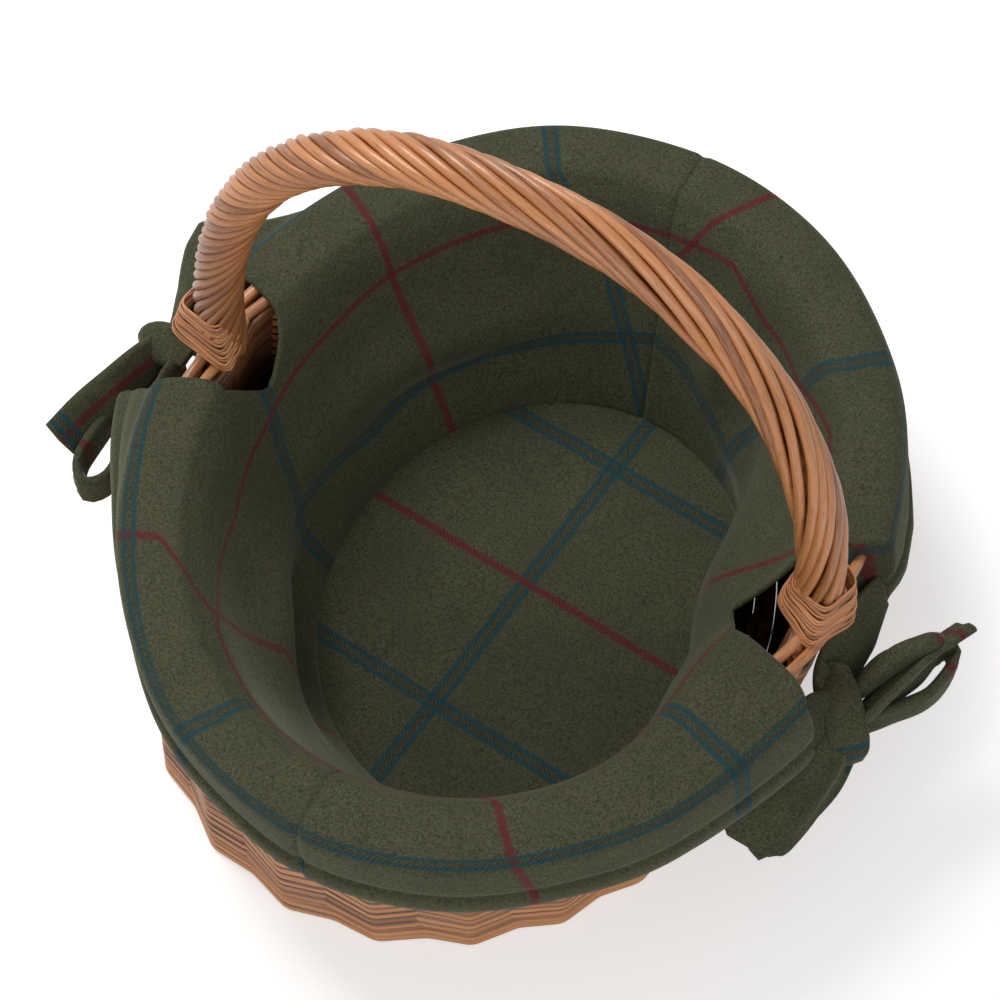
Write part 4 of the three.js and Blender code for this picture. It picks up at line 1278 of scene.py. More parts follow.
# A strip of a tie has the place of its check, as cells and their directions, and its stations: x, y,
# z, width, thickness, and the direction across the strip.
BOWS = {
    "right": {
        "front": [
            {"part": "strap", "cell": (0.3, 0.4, 1, 1), "stations": [
                (0.178, -0.049, 0.112, 0.026, 0.005, (-0.3, 0.2, 0.9)),
                (0.179, -0.038, 0.110, 0.030, 0.005, (-0.5, 0.2, 0.8)),
                (0.186, -0.024, 0.103, 0.024, 0.006, (-0.5, 0.3, 0.8))]},
            {"part": "knot", "cell": (0.5, 1.5, 1, 1), "stations": [
                (0.174, -0.009, 0.113, 0.016, 0.005, (0.55, -0.83, 0.1)),
                (0.183, -0.021, 0.112, 0.021, 0.008, (0.8, 0.55, 0.1)),
                (0.191, -0.030, 0.105, 0.022, 0.010, (0.8, 0.55, 0.1)),
                (0.196, -0.035, 0.096, 0.021, 0.010, (0.8, 0.55, 0.1)),
                (0.197, -0.036, 0.086, 0.016, 0.008, (0.8, 0.55, 0.1))]},
            {"part": "lobe", "cell": (0.45, 1.12, 1, 1), "pleat": 0.0030, "stations": [
                (0.188, -0.032, 0.099, 0.022, 0.009, (0.8, 0.1, -0.5)),
                (0.186, -0.044, 0.096, 0.032, 0.011, (0.8, 0.0, -0.6)),
                (0.182, -0.059, 0.088, 0.038, 0.012, (0.8, 0.0, -0.6)),
                (0.177, -0.074, 0.079, 0.040, 0.012, (0.8, 0.0, -0.6)),
                (0.173, -0.086, 0.072, 0.036, 0.009, (0.8, 0.0, -0.6)),
                (0.172, -0.091, 0.069, 0.025, 0.005, (0.8, 0.0, -0.6))]},
            {"part": "tail", "cell": (0.75, 0.02, 1, -1), "stations": [
                (0.195, -0.036, 0.088, 0.013, 0.004, (0.8, 0.1, -0.5)),
                (0.193, -0.050, 0.083, 0.017, 0.004, (0.8, 0.0, -0.6)),
                (0.187, -0.066, 0.074, 0.018, 0.004, (0.8, 0.0, -0.6)),
                (0.179, -0.080, 0.066, 0.018, 0.004, (0.8, 0.0, -0.6)),
                (0.173, -0.089, 0.062, 0.015, 0.004, (0.8, 0.0, -0.6))]},
        ],
        "back": [
            {"part": "strap", "cell": (0.3, 0.1, 1, 1), "stations": [
                (0.178, 0.040, 0.112, 0.024, 0.005, (-0.3, -0.1, 0.9)),
                (0.1770, 0.018, 0.113, 0.030, 0.005, (-0.55, -0.1, 0.8)),
                (0.1760, 0.000, 0.111, 0.031, 0.005, (-0.6, -0.1, 0.8)),
                (0.1770, -0.013, 0.107, 0.030, 0.006, (-0.6, -0.1, 0.8)),
                (0.182, -0.024, 0.102, 0.024, 0.006, (-0.5, -0.3, 0.8))]},
            {"part": "tail", "cell": (0.55, 0.17, 1, 1), "pleat": 0.0010, "stations": [
                (0.194, -0.026, 0.101, 0.017, 0.006, (0.5, -0.3, 0.8)),
                (0.200, -0.007, 0.104, 0.021, 0.005, (0.5, -0.3, 0.8)),
                (0.207, 0.013, 0.106, 0.021, 0.005, (0.55, -0.25, 0.8)),
                (0.213, 0.030, 0.104, 0.019, 0.005, (0.6, -0.2, 0.75)),
                (0.220, 0.0465, 0.100, 0.018, 0.005, (0.6, -0.15, 0.75))]},
            {"part": "lobe", "cell": (0.4, 0.4, 1, 1), "pleat": 0.0012, "stations": [
                (0.187, -0.014, 0.102, 0.018, 0.007, (0.3, -0.1, 0.95)),
                (0.192, 0.001, 0.104, 0.027, 0.010, (0.3, -0.1, 0.95)),
                (0.199, 0.014, 0.105, 0.030, 0.012, (0.3, -0.1, 0.95)),
                (0.207, 0.025, 0.105, 0.028, 0.011, (0.3, -0.1, 0.95)),
                (0.212, 0.032, 0.104, 0.016, 0.007, (0.3, -0.1, 0.95))]},
            {"part": "loop", "closed": True, "cell": (0.3, 0.35, 1, 1), "stations": [
                (0.195, -0.021, 0.094, 0.016, 0.0052, (0.1, 0.1, 1)),
                (0.203, -0.012, 0.092, 0.018, 0.0058, (0, 0, 1)),
                (0.2175, 0.007, 0.092, 0.020, 0.0060, (0, 0, 1)),
                (0.2225, 0.023, 0.094, 0.021, 0.0058, (0, 0, 1)),
                (0.2200, 0.033, 0.096, 0.020, 0.0052, (0, 0, 1)),
                (0.2130, 0.0275, 0.098, 0.020, 0.0056, (0, 0, 1)),
                (0.2095, 0.012, 0.098, 0.019, 0.0058, (0, 0, 1)),
                (0.199, -0.010, 0.097, 0.017, 0.0052, (0, 0, 1))]},
        ],
    },
    "left": {
        "front": [
            {"part": "strap", "cell": (0.3, 0.4, 1, 1), "stations": [
                (-0.186, 0.031, 0.110, 0.020, 0.004, (0, 0.3, 1)),
                (-0.190, 0.022, 0.106, 0.021, 0.005, (0, 0.4, 1)),
                (-0.193, 0.012, 0.100, 0.020, 0.006, (0, 0.5, 1))]},
            {"part": "knot", "cell": (0.5, 0.55, 1, 1), "stations": [
                (-0.184, 0.004, 0.112, 0.017, 0.006, (-0.55, 0.83, 0.1)),
                (-0.194, 0.005, 0.112, 0.021, 0.010, (-0.7, 0.65, 0.1)),
                (-0.204, 0.006, 0.107, 0.022, 0.012, (-0.7, 0.65, 0.1)),
                (-0.209, 0.007, 0.098, 0.021, 0.012, (-0.7, 0.65, 0.1)),
                (-0.208, 0.008, 0.088, 0.016, 0.009, (-0.7, 0.65, 0.1))]},
            {"part": "lobe", "cell": (0.45, 0.4, 1, 1), "stations": [
                (-0.199, 0.018, 0.098, 0.016, 0.007, (-0.7, 0.5, 0.5)),
                (-0.199, 0.030, 0.096, 0.024, 0.010, (-0.7, 0.4, 0.5)),
                (-0.194, 0.047, 0.090, 0.028, 0.012, (-0.7, 0.3, 0.6)),
                (-0.189, 0.062, 0.083, 0.027, 0.012, (-0.7, 0.3, 0.6)),
                (-0.184, 0.073, 0.077, 0.016, 0.008, (-0.7, 0.3, 0.6))]},
            {"part": "tail", "cell": (0.45, 0.3, 1, 1), "stations": [
                (-0.203, 0.016, 0.092, 0.015, 0.004, (-0.7, 0.5, 0.5)),
                (-0.203, 0.034, 0.084, 0.020, 0.0045, (-0.7, 0.4, 0.5)),
                (-0.196, 0.052, 0.074, 0.022, 0.0045, (-0.7, 0.4, 0.5)),
                (-0.188, 0.072, 0.065, 0.021, 0.0045, (-0.7, 0.35, 0.6))]},
        ],
        "back": [
            {"part": "strap", "cell": (0.3, 0.4, 1, 1), "stations": [
                (-0.186, -0.028, 0.111, 0.020, 0.004, (0, -0.4, 1)),
                (-0.188, -0.012, 0.107, 0.021, 0.005, (0, -0.4, 1)),
                (-0.190, 0.004, 0.100, 0.020, 0.006, (0, -0.5, 1))]},
            {"part": "tail", "cell": (1.0, 1.17, 1, 1), "stations": [
                (-0.200, 0.010, 0.104, 0.018, 0.006, (-0.5, 0.3, 0.8)),
                (-0.205, -0.006, 0.105, 0.022, 0.006, (-0.5, 0.3, 0.8)),
                (-0.211, -0.024, 0.103, 0.023, 0.005, (-0.5, 0.3, 0.8)),
                (-0.218, -0.041, 0.099, 0.023, 0.005, (-0.5, 0.3, 0.8)),
                (-0.2235, -0.060, 0.095, 0.022, 0.005, (-0.5, 0.3, 0.8))]},
            {"part": "loop", "closed": True, "cell": (0.3, 0.35, 1, 1), "stations": [
                (-0.200, -0.004, 0.090, 0.017, 0.0042, (0.1, 0.1, 1)),
                (-0.208, -0.022, 0.088, 0.019, 0.0042, (0, 0, 1)),
                (-0.2120, -0.042, 0.085, 0.022, 0.0072, (0, 0, 1)),
                (-0.2115, -0.062, 0.083, 0.021, 0.0056, (0, 0, 1)),
                (-0.2035, -0.072, 0.082, 0.021, 0.0060, (0, 0, 1)),
                (-0.195, -0.065, 0.083, 0.021, 0.0056, (0, 0, 1)),
                (-0.194, -0.050, 0.085, 0.021, 0.0056, (0, 0, 1)),
                (-0.195, -0.026, 0.088, 0.018, 0.0042, (0, 0, 1))]},
        ],
    },
}


def tie(side, place):
    """One of the two ties at a handle foot, from its strap, knot, loops and tail."""
    parts = []
    for i, item in enumerate(BOWS[side][place]):
        name = f"tie_{side}_{place}_{item['part']}"
        looks = {key: item[key] for key in ("closed", "pleat") if key in item}
        parts.append(tie_strip(name, item["stations"], item["cell"], 1.3 * i + 2.0, **looks))
    return joined_piece(f"tie_{side}_{place}_cloth", parts)


# Operators

# Rods behind the stakes: swing of their wave, play to the inner face of the wall, factor on a side rod
BEHIND_WAVE = 0.0015
BEHIND_PLAY = 0.0008
BEHIND_GIRTH = 1.15
# Foot rods: their diameter outside and inside, and how far their middles lie in from either face
FOOT_ROD = 0.0058
FOOT_INSET = 0.0031
FOOT_FILLET = 0.003
INNER_FOOT_ROD = 0.0088
INNER_FOOT_INSET = 0.0045
INNER_FOOT_LOWEST = 0.0047
# A side rod: its play, its shortest tip with the spread of it, and how far the tip stands out
ROD_PLAY = 0.0003
ROD_FILLET = 0.0024
TIP_LENGTH = 0.002
TIP_SPREAD = 0.003
TIP_OUT = 0.0008
# How its other end goes in behind the next rod: distance past the valley, and distance inward
ROD_END = ((-0.0035, 0.0), (0.0025, 0.0046), (0.009, 0.0070))


class BASKET_OT_side(bpy.types.Operator):
    """Weave the side: short rods over every ridge, rods behind the stakes, and thick rods at the foot"""

    bl_idname = "basket.side"
    bl_label = "Weave Side"

    def execute(self, context):
        diameter = context.scene.basket_willow.weave_rod
        draw = np.random.default_rng(SHARED_SEED)
        rods, behind = [], []
        for line in range(2 * SIDE_ROWS):
            row, of_pair = divmod(line, 2)
            course = row // COURSE_ROWS
            middle = FOOT_TOP + COURSE_GAP * (1 + course) + (row + 0.5) * ROW_PITCH
            z = middle + (of_pair - 0.5) * PAIR_PITCH
            for ridge in range(RIDGES):
                rods.append(self.stroke(ridge, z, diameter, draw))
            ring = []
            for step in range(4 * RIDGES):
                wave = BEHIND_WAVE * math.cos(math.pi * step / 2)
                inset = WALL_THICKNESS - diameter / 2 - BEHIND_PLAY + wave
                ring.append(wall_point(step / 2, inset, z))
            behind.append(rod(ring, diameter * BEHIND_GIRTH, closed=True))
        side = lay_rods("side_weave", rods, row_willow(), 11, sides=8, unevenness=0.04, bend=0.00012)
        finish_piece(side, "woven_willow", "side_weave_lower", "side_weave_upper")
        # The rods behind the stakes take the darker willow: painted shade
        inner = lay_rods("side_weave_inner", behind, shaded_inner_willow(), 12, sides=6, unevenness=0.04)
        finish_piece(inner, "woven_willow")
        foot_rods = []
        for i in range(FOOT_RODS):
            z = (i + 0.5) * FOOT_TOP / FOOT_RODS
            insets = [FOOT_INSET + valley_depth(step, z) for step in range(2 * RIDGES)]
            corners = [wall_point(step, inset, z) for step, inset in enumerate(insets)]
            path = rounded_path(corners + corners[:2], FOOT_FILLET, 3)[1:-1]
            foot_rods.append(rod(path[:-1], FOOT_ROD, closed=True))
            z = max(z, INNER_FOOT_LOWEST)
            inset = WALL_THICKNESS - INNER_FOOT_INSET
            path = [wall_point(step / 2, inset, z) for step in range(4 * RIDGES)]
            foot_rods.append(rod(path, INNER_FOOT_ROD, closed=True))
        foot = lay_rods("foot_wale_rods", foot_rods, foot_willow(), 13, sides=10, bend=0.0002)
        finish_piece(foot, "woven_willow", "foot_wale")
        dress_nodes("side_stake", stick_willow())
        return {"FINISHED"}

    def stroke(self, ridge, z, diameter, draw):
        """One rod from a valley over its ridge, going in behind the next rod at the next valley."""
        step = 2 * ridge + 1
        z = z + ROD_PLAY * (draw.random() - 0.5)
        thick = diameter * (0.95 + 0.1 * draw.random())
        cover = thick / 2 + ROD_PLAY * draw.random()
        valley = wall_point(step - 1, cover + valley_depth(step - 1, z), z)
        crest = wall_point(step, cover, z)
        leave = wall_point(step + 1, cover + valley_depth(step + 1, z), z)
        out = unit(valley - crest)
        on = unit(leave - crest)
        inward = -unit(np.array([crest[0], crest[1], 0.0]))
        tip = valley + out * (TIP_LENGTH + TIP_SPREAD * draw.random()) - inward * TIP_OUT
        end = [leave + on * past + inward * deep for past, deep in ROD_END]
        path = rounded_path([tip, crest, *end], ROD_FILLET, 3)
        return rod(path, thick, offset=float(draw.random()))


BORDER_ROD = 0.0056
BORDER_POINTS = 34
# A border rod from its stake on: steps round the wall, inset, and height over the border's bottom
BORDER_RUN = (
    (0.0, STAKE_INSET, -0.010),
    (0.0, STAKE_INSET + 0.001, 0.004),
    (0.25, 0.0135, 0.0096),
    (1.0, 0.0165, 0.0090),
    (2.2, 0.0125, 0.0096),
    (3.4, 0.0068, 0.0092),
    (4.6, 0.0030, 0.0050),
    (5.8, 0.0052, 0.0014),
    (6.6, 0.0095, 0.0006),
)


class BASKET_OT_border(bpy.types.Operator):
    """Roll the stake ends down along the rim as the border"""

    bl_idname = "basket.border"
    bl_label = "Roll Border"

    def execute(self, context):
        rods = []
        for ridge in range(RIDGES):
            first = 2 * ridge + 1
            points = [wall_point(first + s, inset, BORDER_BOTTOM + z) for s, inset, z in BORDER_RUN]
            rods.append(rod(spline(points, BORDER_POINTS), BORDER_ROD))
        border = lay_rods("rim_border_rods", rods, border_willow(), 21, sides=10, bend=0.0005)
        finish_piece(border, "border_willow", "rim_border")
        return {"FINISHED"}


# Base weave: half width of its first ring, points of a ring, its rise over a stick, and its rods
BASE_FIRST_RING = 0.0125
BASE_POINTS = 180
BASE_LIFT = 0.0024
BASE_ROD = 0.0042
BASE_EDGE_ROD = 0.0078
# Past this distance along Y the rings go over and under the long sticks, after a change this long.
LONG_FROM = 0.108
LONG_CHANGE = 0.02
# Sticks: half length in the middle, half the spread of the oval that cuts them, and diameter
CROSS_STICK = (0.1440, 0.1735, 0.0060)
CROSS_PAIR = (-0.0031, 0.0031)
LONG_STICK = (0.1725, 0.145, 0.0056)


class BASKET_OT_base(bpy.types.Operator):
    """Weave the oval base over and under its sticks"""

    bl_idname = "basket.base"
    bl_label = "Weave Base"

    def execute(self, context):
        rods = []
        for ring in range(BASE_RINGS):
            reach = BASE_FIRST_RING + ring * BASE_PITCH
            path = []
            for i in range(BASE_POINTS):
                angle = 2 * math.pi * i / BASE_POINTS
                x, y = reach * math.cos(angle), (reach + BASE_EXTRA_LENGTH) * math.sin(angle)
                over_cross = math.cos(math.pi * (y / CROSS_PITCH + ring))
                over_long = math.cos(math.pi * (x / LONG_PITCH + ring))
                share = float(smooth((abs(y) - LONG_FROM) / LONG_CHANGE))
                lift = BASE_LIFT * lerp(over_cross, over_long, share)
                path.append((x + BASE_SHIFT[0], y + BASE_SHIFT[1], BASE_MIDDLE + lift))
            rods.append(rod(path, BASE_EDGE_ROD if ring == BASE_RINGS - 1 else BASE_ROD, closed=True))
        weave = lay_rods("base_weave_rods", rods, base_willow(), 31, sides=8, bend=0.0003)
        sticks = []
        for i in range(CROSS_STICKS):
            y = (i - (CROSS_STICKS - 1) / 2) * CROSS_PITCH
            half = self.half_stick(y, CROSS_STICK)
            for shift in CROSS_PAIR:
                sticks.append(self.stick((-half, y + shift), (half, y + shift), CROSS_STICK[2]))
        for i in range(LONG_STICKS):
            x = (i - (LONG_STICKS - 1) / 2) * LONG_PITCH
            half = self.half_stick(x, LONG_STICK)
            sticks.append(self.stick((x, -half), (x, half), LONG_STICK[2]))
        spokes = lay_rods("base_stick_rods", sticks, base_willow(), 32, sides=8, bend=0.0002)
        crosses = [f"base_cross_stick_{i + 1}" for i in range(CROSS_STICKS)]
        longs = [f"base_long_stick_{i + 1}" for i in range(LONG_STICKS)]
        finish_piece(weave, "woven_willow", "base_weave")
        finish_piece(spokes, "stake_willow", *crosses, *longs)
        return {"FINISHED"}

    def half_stick(self, aside, size):
        """Half the length of a stick that lies so far aside of the middle."""
        return size[0] * math.sqrt(max(0.0, 1 - (abs(aside) / size[1]) ** 2))

    def stick(self, start, end, diameter):
        """A straight stick between two places on the base."""
        path = [(*lerp(np.array(start), np.array(end), t), BASE_MIDDLE) for t in (0, 0.5, 1)]
        return rod(np.array(path) + np.array([*BASE_SHIFT, 0.0]), diameter)


ARCH_SAMPLES = 2000
HANDLE_POINTS = 170
# Share of the way from the left foot, and there the radius that the rods lie on, and the factor on
# their thickness
HANDLE_RADIUS = ([0, 0.3, 0.6, 1.0], [0.0099, 0.0098, 0.0097, 0.0098])
HANDLE_GIRTH = ([0, 0.35, 0.6, 1.0], [0.96, 0.98, 1.0, 1.02])
# How unevenly the rods start round the handle, and how they draw together in threes past its middle
START_STRAY = 0.05
GROUP_PULL = 0.09
GROUP_FROM = 0.45
GROUP_CHANGE = 0.2
# How far the rods stand off their radius in waves, as a part of it
LOOSENESS = 0.045
LOOSE_WAVE = 9
LOOSE_PHASE = 6
# The ends of the rods in the border: how far they lean out, factors on their places across and
# along, and depth
END_LEAN = 0.002
HANDLE_ENDS = ((0.75, 0.8, 0.005), (0.55, 0.75, 0.015))


def arch_point(angle):
    """A point of the arch over its shoulders, by the angle from +X."""
    power = 2 / HANDLE_ROUNDNESS
    c, s = math.cos(angle), math.sin(angle)
    x = math.copysign(abs(c) ** power, c) * HANDLE_SPAN / 2
    return np.array([x, 0.0, HANDLE_SHOULDER + abs(s) ** power * HANDLE_RISE])


def handle_line(count):
    """Even points along the middle of the handle, from the left foot to the right one."""
    arch = [arch_point(math.pi * (1 - i / ARCH_SAMPLES)) for i in range(ARCH_SAMPLES + 1)]
    feet = [np.array([x, 0, HANDLE_FOOT]) for x in (-HANDLE_SPAN / 2, HANDLE_SPAN / 2)]
    fine = np.array([feet[0], *arch, feet[1]])
    lengths = run_lengths(fine)
    return at_lengths(np.linspace(0, lengths[-1], count), lengths, fine), lengths[-1]


class BASKET_OT_handle(bpy.types.Operator):
    """Twist the twelve rods of the handle round its hidden core"""

    bl_idname = "basket.handle"
    bl_label = "Twist Handle"

    def execute(self, context):
        count = HANDLE_POINTS
        line, length = handle_line(count)
        share = np.linspace(0, 1, count)
        lay = np.radians(np.interp(share, *HANDLE_LAY))
        radius = np.interp(share, *HANDLE_RADIUS)
        size = context.scene.basket_willow.handle_rod
        thick = np.interp(share, HANDLE_GIRTH[0], [size * factor for factor in HANDLE_GIRTH[1]])
        turn = np.concatenate([[0], np.cumsum(np.tan(lay[1:]) / radius[1:] * length / (count - 1))])
        tangent = unit(np.gradient(line, axis=0))
        across = np.tile([0.0, 1.0, 0.0], (count, 1))
        outward = np.cross(tangent, across)
        draw = np.random.default_rng(SHARED_SEED + 3)
        rods = []
        for i in range(HANDLE_RODS):
            start = 2 * math.pi * i / HANDLE_RODS + START_STRAY * (draw.random() - 0.5)
            group = GROUP_PULL * math.sin(3 * start) * smooth((share - GROUP_FROM) / GROUP_CHANGE)
            angle = start + turn + group
            loose = 1 + LOOSENESS * np.sin(LOOSE_WAVE * share + LOOSE_PHASE * draw.random())
            aside = across * np.cos(angle)[:, None] + outward * np.sin(angle)[:, None]
            path = self.with_ends(line + aside * (radius * loose)[:, None])
            rods.append(rod(path, np.interp(np.linspace(0, 1, len(path)), share, thick)))
        handle = lay_rods("handle_rods", rods, handle_willow(), 41, sides=10, bend=0.0003, unevenness=0.05)
        finish_piece(handle, "handle_willow", *[f"handle_rope_strand_{i + 1}" for i in range(4)])
        dress_nodes("handle_core", stick_willow())
        return {"FINISHED"}

    def with_ends(self, path):
        """Adds the ends of a rod that go down beside the core into the border."""
        ends = []
        for k, sign in ((0, -1), (-1, 1)):
            x = path[k][0] - sign * HANDLE_SPAN / 2
            y = path[k][1]
            middle = sign * (HANDLE_SPAN / 2 + END_LEAN)
            ends.append([(middle + x * a, y * b, HANDLE_FOOT - deep) for a, b, deep in HANDLE_ENDS])
        return np.concatenate([ends[0][::-1], path, ends[1]])


# The bound feet of the handle. Each corner is given for the top turn and for the bottom one, as
# distances across, toward the front and up from a point on the floor under the foot. Front is turned
# from -Y by so many degrees.
WRAP_TURN = 27.35
WRAP_STRAY = 0.0016
WRAP_POINTS = 56
# How far a turn swells out between its corners: left to low, low to right, right to back, back to left
WRAP_SWELL = (0.0012, 0.0012, 0.0035, 0.0035)
# The middle that the wide faces look away from lies this far under its turn.
WRAP_SINK = 0.006
WRAPS = {
    "left": {
        "foot": (-0.1615, 0.0), "turns": 19,
        "left": ((-0.0150, -0.0020, 0.1790), (-0.0215, 0.0000, 0.1580)),
        "low": ((0.0010, 0.0135, 0.1800), (0.0040, 0.0170, 0.1455)),
        "right": ((0.0130, 0.0020, 0.1830), (0.0105, 0.0075, 0.1530)),
        "back": ((0.0000, -0.0140, 0.1800), (-0.0060, -0.0170, 0.1600)),
    },
    "right": {
        "foot": (0.1600, 0.0), "turns": 17,
        "left": ((-0.0135, 0.0020, 0.1740), (-0.0188, 0.0010, 0.1570)),
        "low": ((0.0010, 0.0135, 0.1715), (-0.0045, 0.0190, 0.1420)),
        "right": ((0.0145, 0.0010, 0.1730), (0.0170, 0.0060, 0.1470)),
        "back": ((0.0000, -0.0140, 0.1760), (0.0030, -0.0175, 0.1600)),
    },
}


class BASKET_OT_wraps(bpy.types.Operator):
    """Bind the handle feet to the border with split willow"""

    bl_idname = "basket.wraps"
    bl_label = "Bind Handle Feet"

    def execute(self, context):
        width = context.scene.basket_willow.split_width
        turn = math.radians(WRAP_TURN)
        across = np.array([math.cos(turn), math.sin(turn), 0.0])
        front = np.array([math.sin(turn), -math.cos(turn), 0.0])
        up = np.array([0.0, 0.0, 1.0])
        draw = np.random.default_rng(SHARED_SEED + 5)
        for side, wrap in WRAPS.items():
            foot = np.array([*wrap["foot"], 0.0])
            strips = []
            for i in range(wrap["turns"]):
                t = i / (wrap["turns"] - 1)
                corners = []
                for key in ("left", "low", "right", "back"):
                    a, b, z = (lerp(top, low, t) for top, low in zip(*wrap[key]))
                    a, b, z = np.array([a, b, z]) + WRAP_STRAY * (draw.random(3) - 0.5)
                    corners.append(foot + across * a + front * b + up * z)
                path = self.turn_path(corners)
                facing = unit(path - (foot + up * (path[:, 2:3] - WRAP_SINK)))
                strips.append(rod(path, width * (0.75 + 0.5 * draw.random()), facing=facing, closed=True))
            wound = lay_rods(
                f"handle_wrap_{side}_splits", strips, split_willow(), 51,
                sides=8, flat=True, flatness=0.5, unevenness=0.08, bend=0.0003,
            )
            finish_piece(wound, "split_willow", f"handle_wrap_{side}")
        return {"FINISHED"}

    def turn_path(self, corners):
        """A closed turn, nearly straight between its corners."""
        left, low, right, back = corners
        legs = []
        for here, after in zip(corners, [low, right, back, left]):
            legs += [here, lerp(here, after, 0.5)]
        centre = (left + right + low + back) / 4
        for k, swell in enumerate(WRAP_SWELL):
            middle = legs[2 * k + 1]
            legs[2 * k + 1] = middle + unit(middle - centre) * swell
        return spline(legs, WRAP_POINTS, closed=True)


class BASKET_OT_lining(bpy.types.Operator):
    """Sew the lining: a base panel and two side panels turned down over the rim"""

    bl_idname = "basket.lining"
    bl_label = "Sew Lining"

    def execute(self, context):
        points, faces, uv = lining_base()
        base = cloth_piece("lining_base_cloth", points, faces, uv, CLOTH)
        finish_piece(base, "check_wool", "lining_base_panel")
        for side in ("left", "right"):
            panel = lining_side(side)
            finish_piece(panel, "check_wool", f"lining_side_{side}")
        return {"FINISHED"}


class BASKET_OT_bows(bpy.types.Operator):
    """Tie the cloth ties of the lining into a bow at each handle foot"""

    bl_idname = "basket.bows"
    bl_label = "Tie Bows"

    def execute(self, context):
        for side in ("left", "right"):
            for place in ("front", "back"):
                piece = tie(side, place)
                finish_piece(piece, "check_wool", f"tie_{side}_{place}")
        return {"FINISHED"}


WHITE = (1.0, 1.0, 1.0)
FLOOR_HALF = 6.0
# The floor lies this far under the foot, and glows so much for the camera alone.
FLOOR_SINK = 0.0002
FLOOR_GLOW = 0.40
# Light of the surroundings on the object. Seen or mirrored, they are white.
WORLD_LIGHT = 0.36
# Place, size in metres and power in watts
LAMPS = {
    "key_softbox": ((-0.95, 0.35, 1.8), 0.9, 23.0),
    "side_softbox": ((1.6, -0.9, 1.3), 1.0, 5.0),
    "front_softbox": ((0.4, -1.7, 1.1), 1.2, 8.0),
}
LAMP_AIM = (0, 0, 0.12)


def look_along(obj, direction):
    """Turns a lamp or the camera to look in a direction."""
    obj.rotation_mode = "QUATERNION"
    obj.rotation_quaternion = direction.to_track_quat("-Z", "Y")


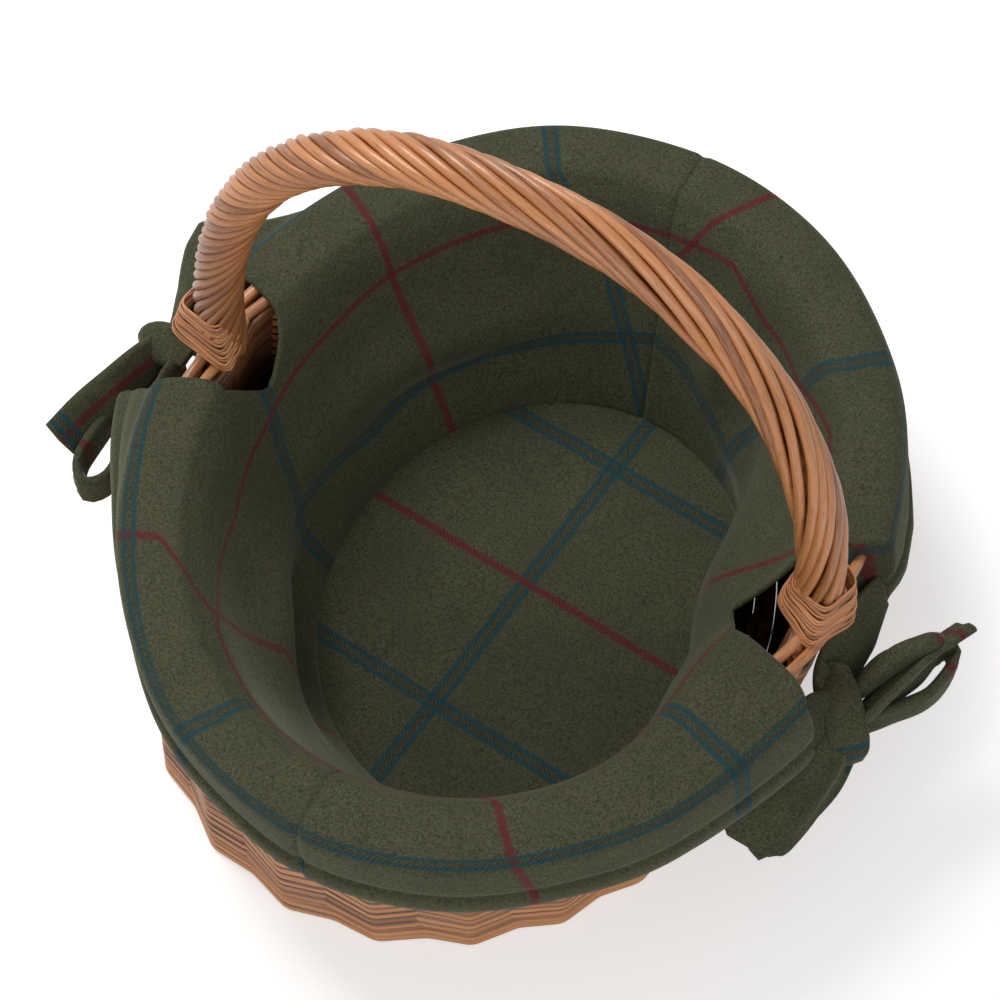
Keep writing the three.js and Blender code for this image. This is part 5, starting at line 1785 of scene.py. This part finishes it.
class BASKET_OT_stage(bpy.types.Operator):
    """Set the floor, the lights, the white surroundings and the camera"""

    bl_idname = "basket.stage"
    bl_label = "Set Stage"

    def execute(self, context):
        scene = context.scene
        scene.view_settings.view_transform = "Standard"
        mesh = bpy.data.meshes.new("floor")
        corners = [(x * FLOOR_HALF, y * FLOOR_HALF, 0) for x, y in ((-1, -1), (1, -1), (1, 1), (-1, 1))]
        mesh.from_pydata(corners, [], [(0, 1, 2, 3)])
        mesh.materials.append(self.floor_material(tuple(scene.basket_stage.floor)))
        floor = linked("floor", mesh)
        floor.location.z = -FLOOR_SINK
        self.world(scene)
        for name, (place, size, power) in LAMPS.items():
            self.lamp(name, place, size, power)
        self.camera(scene)
        return {"FINISHED"}

    def floor_material(self, colour):
        """A matt floor that glows a little where the camera sees it, so that it comes out white."""
        s = Shade("floor_white")
        seen = s.node("ShaderNodeLightPath").outputs["Is Camera Ray"]
        return s.finish(
            Base_Color=colour, Roughness=0.9, Specular_IOR_Level=0.0,
            Emission_Color=WHITE, Emission_Strength=s.math("MULTIPLY", seen, FLOOR_GLOW),
        )

    def world(self, scene):
        """White surroundings for the camera, mirrors and glass, and a weaker light on all else."""
        world = bpy.data.worlds.new("studio")
        scene.world = world
        world.use_nodes = True
        tree = NodeTree(world.node_tree)
        tree.nodes.clear()
        ray = tree.node("ShaderNodeLightPath").outputs
        seen = tree.math("MAXIMUM", ray["Is Camera Ray"], ray["Is Glossy Ray"])
        seen = tree.math("MAXIMUM", seen, ray["Is Transmission Ray"])
        strength = tree.node("ShaderNodeMapRange", {"Value": seen, "To Min": WORLD_LIGHT, "To Max": 1.0})
        inputs = {"Color": WHITE, "Strength": strength.outputs["Result"]}
        light = tree.node("ShaderNodeBackground", inputs)
        tree.node("ShaderNodeOutputWorld", {0: light.outputs[0]})

    def lamp(self, name, place, size, power):
        """A square soft light that looks at the basket."""
        data = bpy.data.lights.new(name, "AREA")
        data.shape = "SQUARE"
        data.size = size
        data.energy = power
        obj = linked(name, data)
        obj.location = place
        look_along(obj, Vector(LAMP_AIM) - Vector(place))

    def camera(self, scene):
        """The camera of the photo."""
        data = bpy.data.cameras.new("camera")
        data.lens = CAMERA_LENS
        data.sensor_width = 36.0
        data.shift_x, data.shift_y = CAMERA_SHIFT
        camera = linked("camera", data)
        azimuth, elevation = math.radians(CAMERA_AZIMUTH), math.radians(CAMERA_ELEVATION)
        level = math.cos(elevation)
        back = Vector((math.sin(azimuth) * level, -math.cos(azimuth) * level, math.sin(elevation)))
        camera.location = Vector(CAMERA_TARGET) + back * CAMERA_DISTANCE
        look_along(camera, -back)
        scene.camera = camera


class BASKET_PT_panel(bpy.types.Panel):
    """Lists the basket's settings and the steps that make it"""

    bl_idname = "BASKET_PT_panel"
    bl_label = "Willow Basket"
    bl_space_type = "VIEW_3D"
    bl_region_type = "UI"
    bl_category = "Basket"

    def draw(self, context):
        layout = self.layout
        for group in (context.scene.basket_willow, context.scene.basket_lining, context.scene.basket_stage):
            for key in group.__annotations__:
                layout.prop(group, key)
        for step in STEPS:
            layout.operator(step.bl_idname)


STEPS = (
    BASKET_OT_stage, BASKET_OT_side, BASKET_OT_border, BASKET_OT_base, BASKET_OT_handle, BASKET_OT_wraps,
    BASKET_OT_lining, BASKET_OT_bows,
)
CLASSES = (BasketWillow, BasketLining, BasketStage, *STEPS, BASKET_PT_panel)


def register():
    for cls in CLASSES:
        bpy.utils.register_class(cls)
    bpy.types.Scene.basket_willow = PointerProperty(type=BasketWillow)
    bpy.types.Scene.basket_lining = PointerProperty(type=BasketLining)
    bpy.types.Scene.basket_stage = PointerProperty(type=BasketStage)


def unregister():
    del bpy.types.Scene.basket_stage
    del bpy.types.Scene.basket_lining
    del bpy.types.Scene.basket_willow
    for cls in reversed(CLASSES):
        bpy.utils.unregister_class(cls)


def main():
    register()
    bpy.ops.basket.stage()
    bpy.ops.basket.side()
    bpy.ops.basket.border()
    bpy.ops.basket.base()
    bpy.ops.basket.handle()
    bpy.ops.basket.wraps()
    bpy.ops.basket.lining()
    bpy.ops.basket.bows()


if __name__ == "__main__":
    main()
